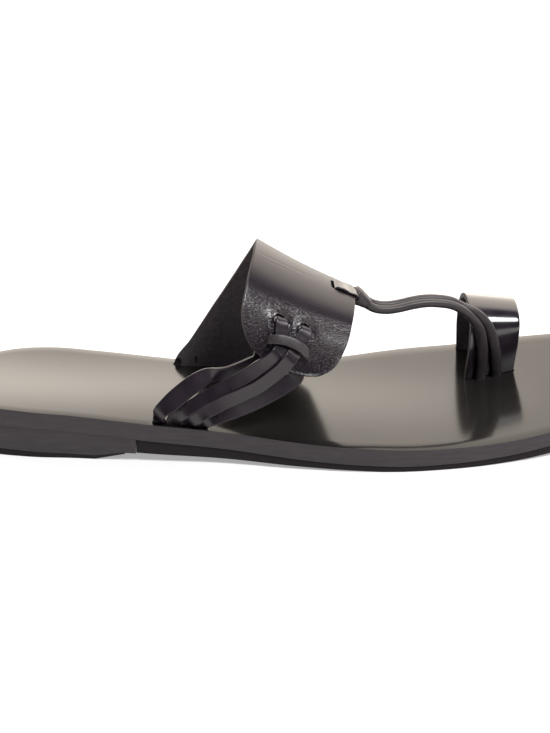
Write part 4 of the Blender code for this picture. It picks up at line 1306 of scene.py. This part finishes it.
class SANDAL_OT_toe_ring(bpy.types.Operator):
    """Band of glazed leather around the big toe"""

    bl_idname = "sandal.toe_ring"
    bl_label = "Toe ring"

    def execute(self, context):
        sizes = context.scene.sandal_sizes
        rear, front = ring_edges()
        reach = np.concatenate([[0.0], np.cumsum(np.linalg.norm(np.diff(rear, axis=0), axis=1))])
        places = np.linspace(0.0, reach[-1], RING_ROWS)
        rear = smooth(places, reach, rear)
        front = smooth(places, reach, front)
        points = rear[:, None] + (front - rear)[:, None] * np.linspace(0.0, 1.0, RING_COLUMNS)[:, None]
        materials = materials_of("ring_leather", "dyed_cut_edge", "flesh_side_suede")
        piece = strap("toe_ring_leather", points, sizes.ring_wall, materials)
        round_cuts(piece, sizes.cut_round)
        complete(piece, "toe_ring", "strap_leather", *materials)
        return {"FINISHED"}


class SANDAL_OT_stage(bpy.types.Operator):
    """Plain floor, studio light and the camera"""

    bl_idname = "sandal.stage"
    bl_label = "Stage"

    def execute(self, context):
        scene = context.scene
        lights = scene.sandal_lights
        bpy.ops.object.select_all(action="DESELECT")
        bpy.ops.mesh.primitive_plane_add(size=FLOOR_SIZE, location=(0.0, 0.0, -FLOOR_DROP * MM))
        floor = context.object
        floor.name = "studio_floor"
        floor.data.materials.append(*materials_of("studio_floor"))

        bpy.ops.object.light_add(type="AREA", location=KEY_PLACE)
        key = context.object
        key.name = "overhead_light"
        key.data.shape = "RECTANGLE"
        key.data.size = KEY_SIZE
        key.data.size_y = KEY_SIZE
        key.data.energy = lights.key
        key.rotation_euler = (-key.location).to_track_quat("-Z", "Y").to_euler()

        world = bpy.data.worlds.new("studio_room")
        scene.world = world
        world.use_nodes = True
        tree = world.node_tree
        way = add(tree, "TexCoord", out="Generated")
        depth = add(tree, "SeparateXYZ", links={"Vector": way}, out="Y")
        behind = add(tree, "MapRange", SMOOTHSTEP, between(*BACKDROP_EDGE), {"Value": depth})
        tint = add(
            tree, "ValToRGB", links={"Fac": behind},
            stops=[(0.0, hex_linear(FRONT_TINT)), (1.0, hex_linear(BACKDROP_TINT))])
        light = add(
            tree, "MapRange", values={"To Min": lights.front, "To Max": lights.backdrop},
            links={"Value": behind})
        room = tree.nodes["Background"]
        plug(tree, room, links={"Color": tint, "Strength": light})
        paper = add(tree, "Background", values={"Color": (1.0, 1.0, 1.0, 1.0)})
        seen = add(tree, "LightPath", out="Is Camera Ray")
        shown = add(tree, "MixShader", links={0: seen, 1: room.outputs["Background"], 2: paper})
        plug(tree, tree.nodes["World Output"], links={"Surface": shown})

        rise, turn = math.radians(CAMERA_RISE), math.radians(CAMERA_TURN)
        back = Vector((math.sin(turn) * math.cos(rise), -math.cos(turn) * math.cos(rise), math.sin(rise)))
        bpy.ops.object.camera_add(location=(Vector(AIM) + back * CAMERA_DISTANCE) * MM)
        camera = context.object
        camera.name = "photo_camera"
        camera.rotation_euler = (-back).to_track_quat("-Z", "Y").to_euler()
        camera.data.lens = LENS
        camera.data.sensor_width = SENSOR
        scene.camera = camera
        scene.view_settings.view_transform = "Standard"
        scene.view_settings.look = "None"
        return {"FINISHED"}


class SANDAL_PT_sandal(bpy.types.Panel):
    """Sizes, colours and builders of the sandal"""

    bl_label = "Sandal"
    bl_space_type = "VIEW_3D"
    bl_region_type = "UI"
    bl_category = "Sandal"

    def draw(self, context):
        for group in (context.scene.sandal_sizes, context.scene.sandal_colours, context.scene.sandal_lights):
            box = self.layout.box()
            for name in group.__annotations__:
                box.prop(group, name)
        for operator in OPERATORS:
            self.layout.operator(operator.bl_idname)


GROUPS = {"sandal_sizes": SandalSizes, "sandal_colours": SandalColours, "sandal_lights": SandalLights}
OPERATORS = (
    SANDAL_OT_stage, SANDAL_OT_footbed, SANDAL_OT_sole, SANDAL_OT_instep_band,
    SANDAL_OT_side_laces, SANDAL_OT_toe_thong, SANDAL_OT_toe_ring,
)


def register():
    for name, group in GROUPS.items():
        bpy.utils.register_class(group)
        setattr(bpy.types.Scene, name, bpy.props.PointerProperty(type=group))
    for kind in (*OPERATORS, SANDAL_PT_sandal):
        bpy.utils.register_class(kind)


def unregister():
    for kind in (SANDAL_PT_sandal, *reversed(OPERATORS)):
        bpy.utils.unregister_class(kind)
    for name, group in GROUPS.items():
        delattr(bpy.types.Scene, name)
        bpy.utils.unregister_class(group)


def main():
    register()
    bpy.ops.sandal.stage()
    bpy.ops.sandal.footbed()
    bpy.ops.sandal.sole()
    bpy.ops.sandal.instep_band()
    bpy.ops.sandal.side_laces()
    bpy.ops.sandal.toe_thong()
    bpy.ops.sandal.toe_ring()


if __name__ == "__main__":
    main()
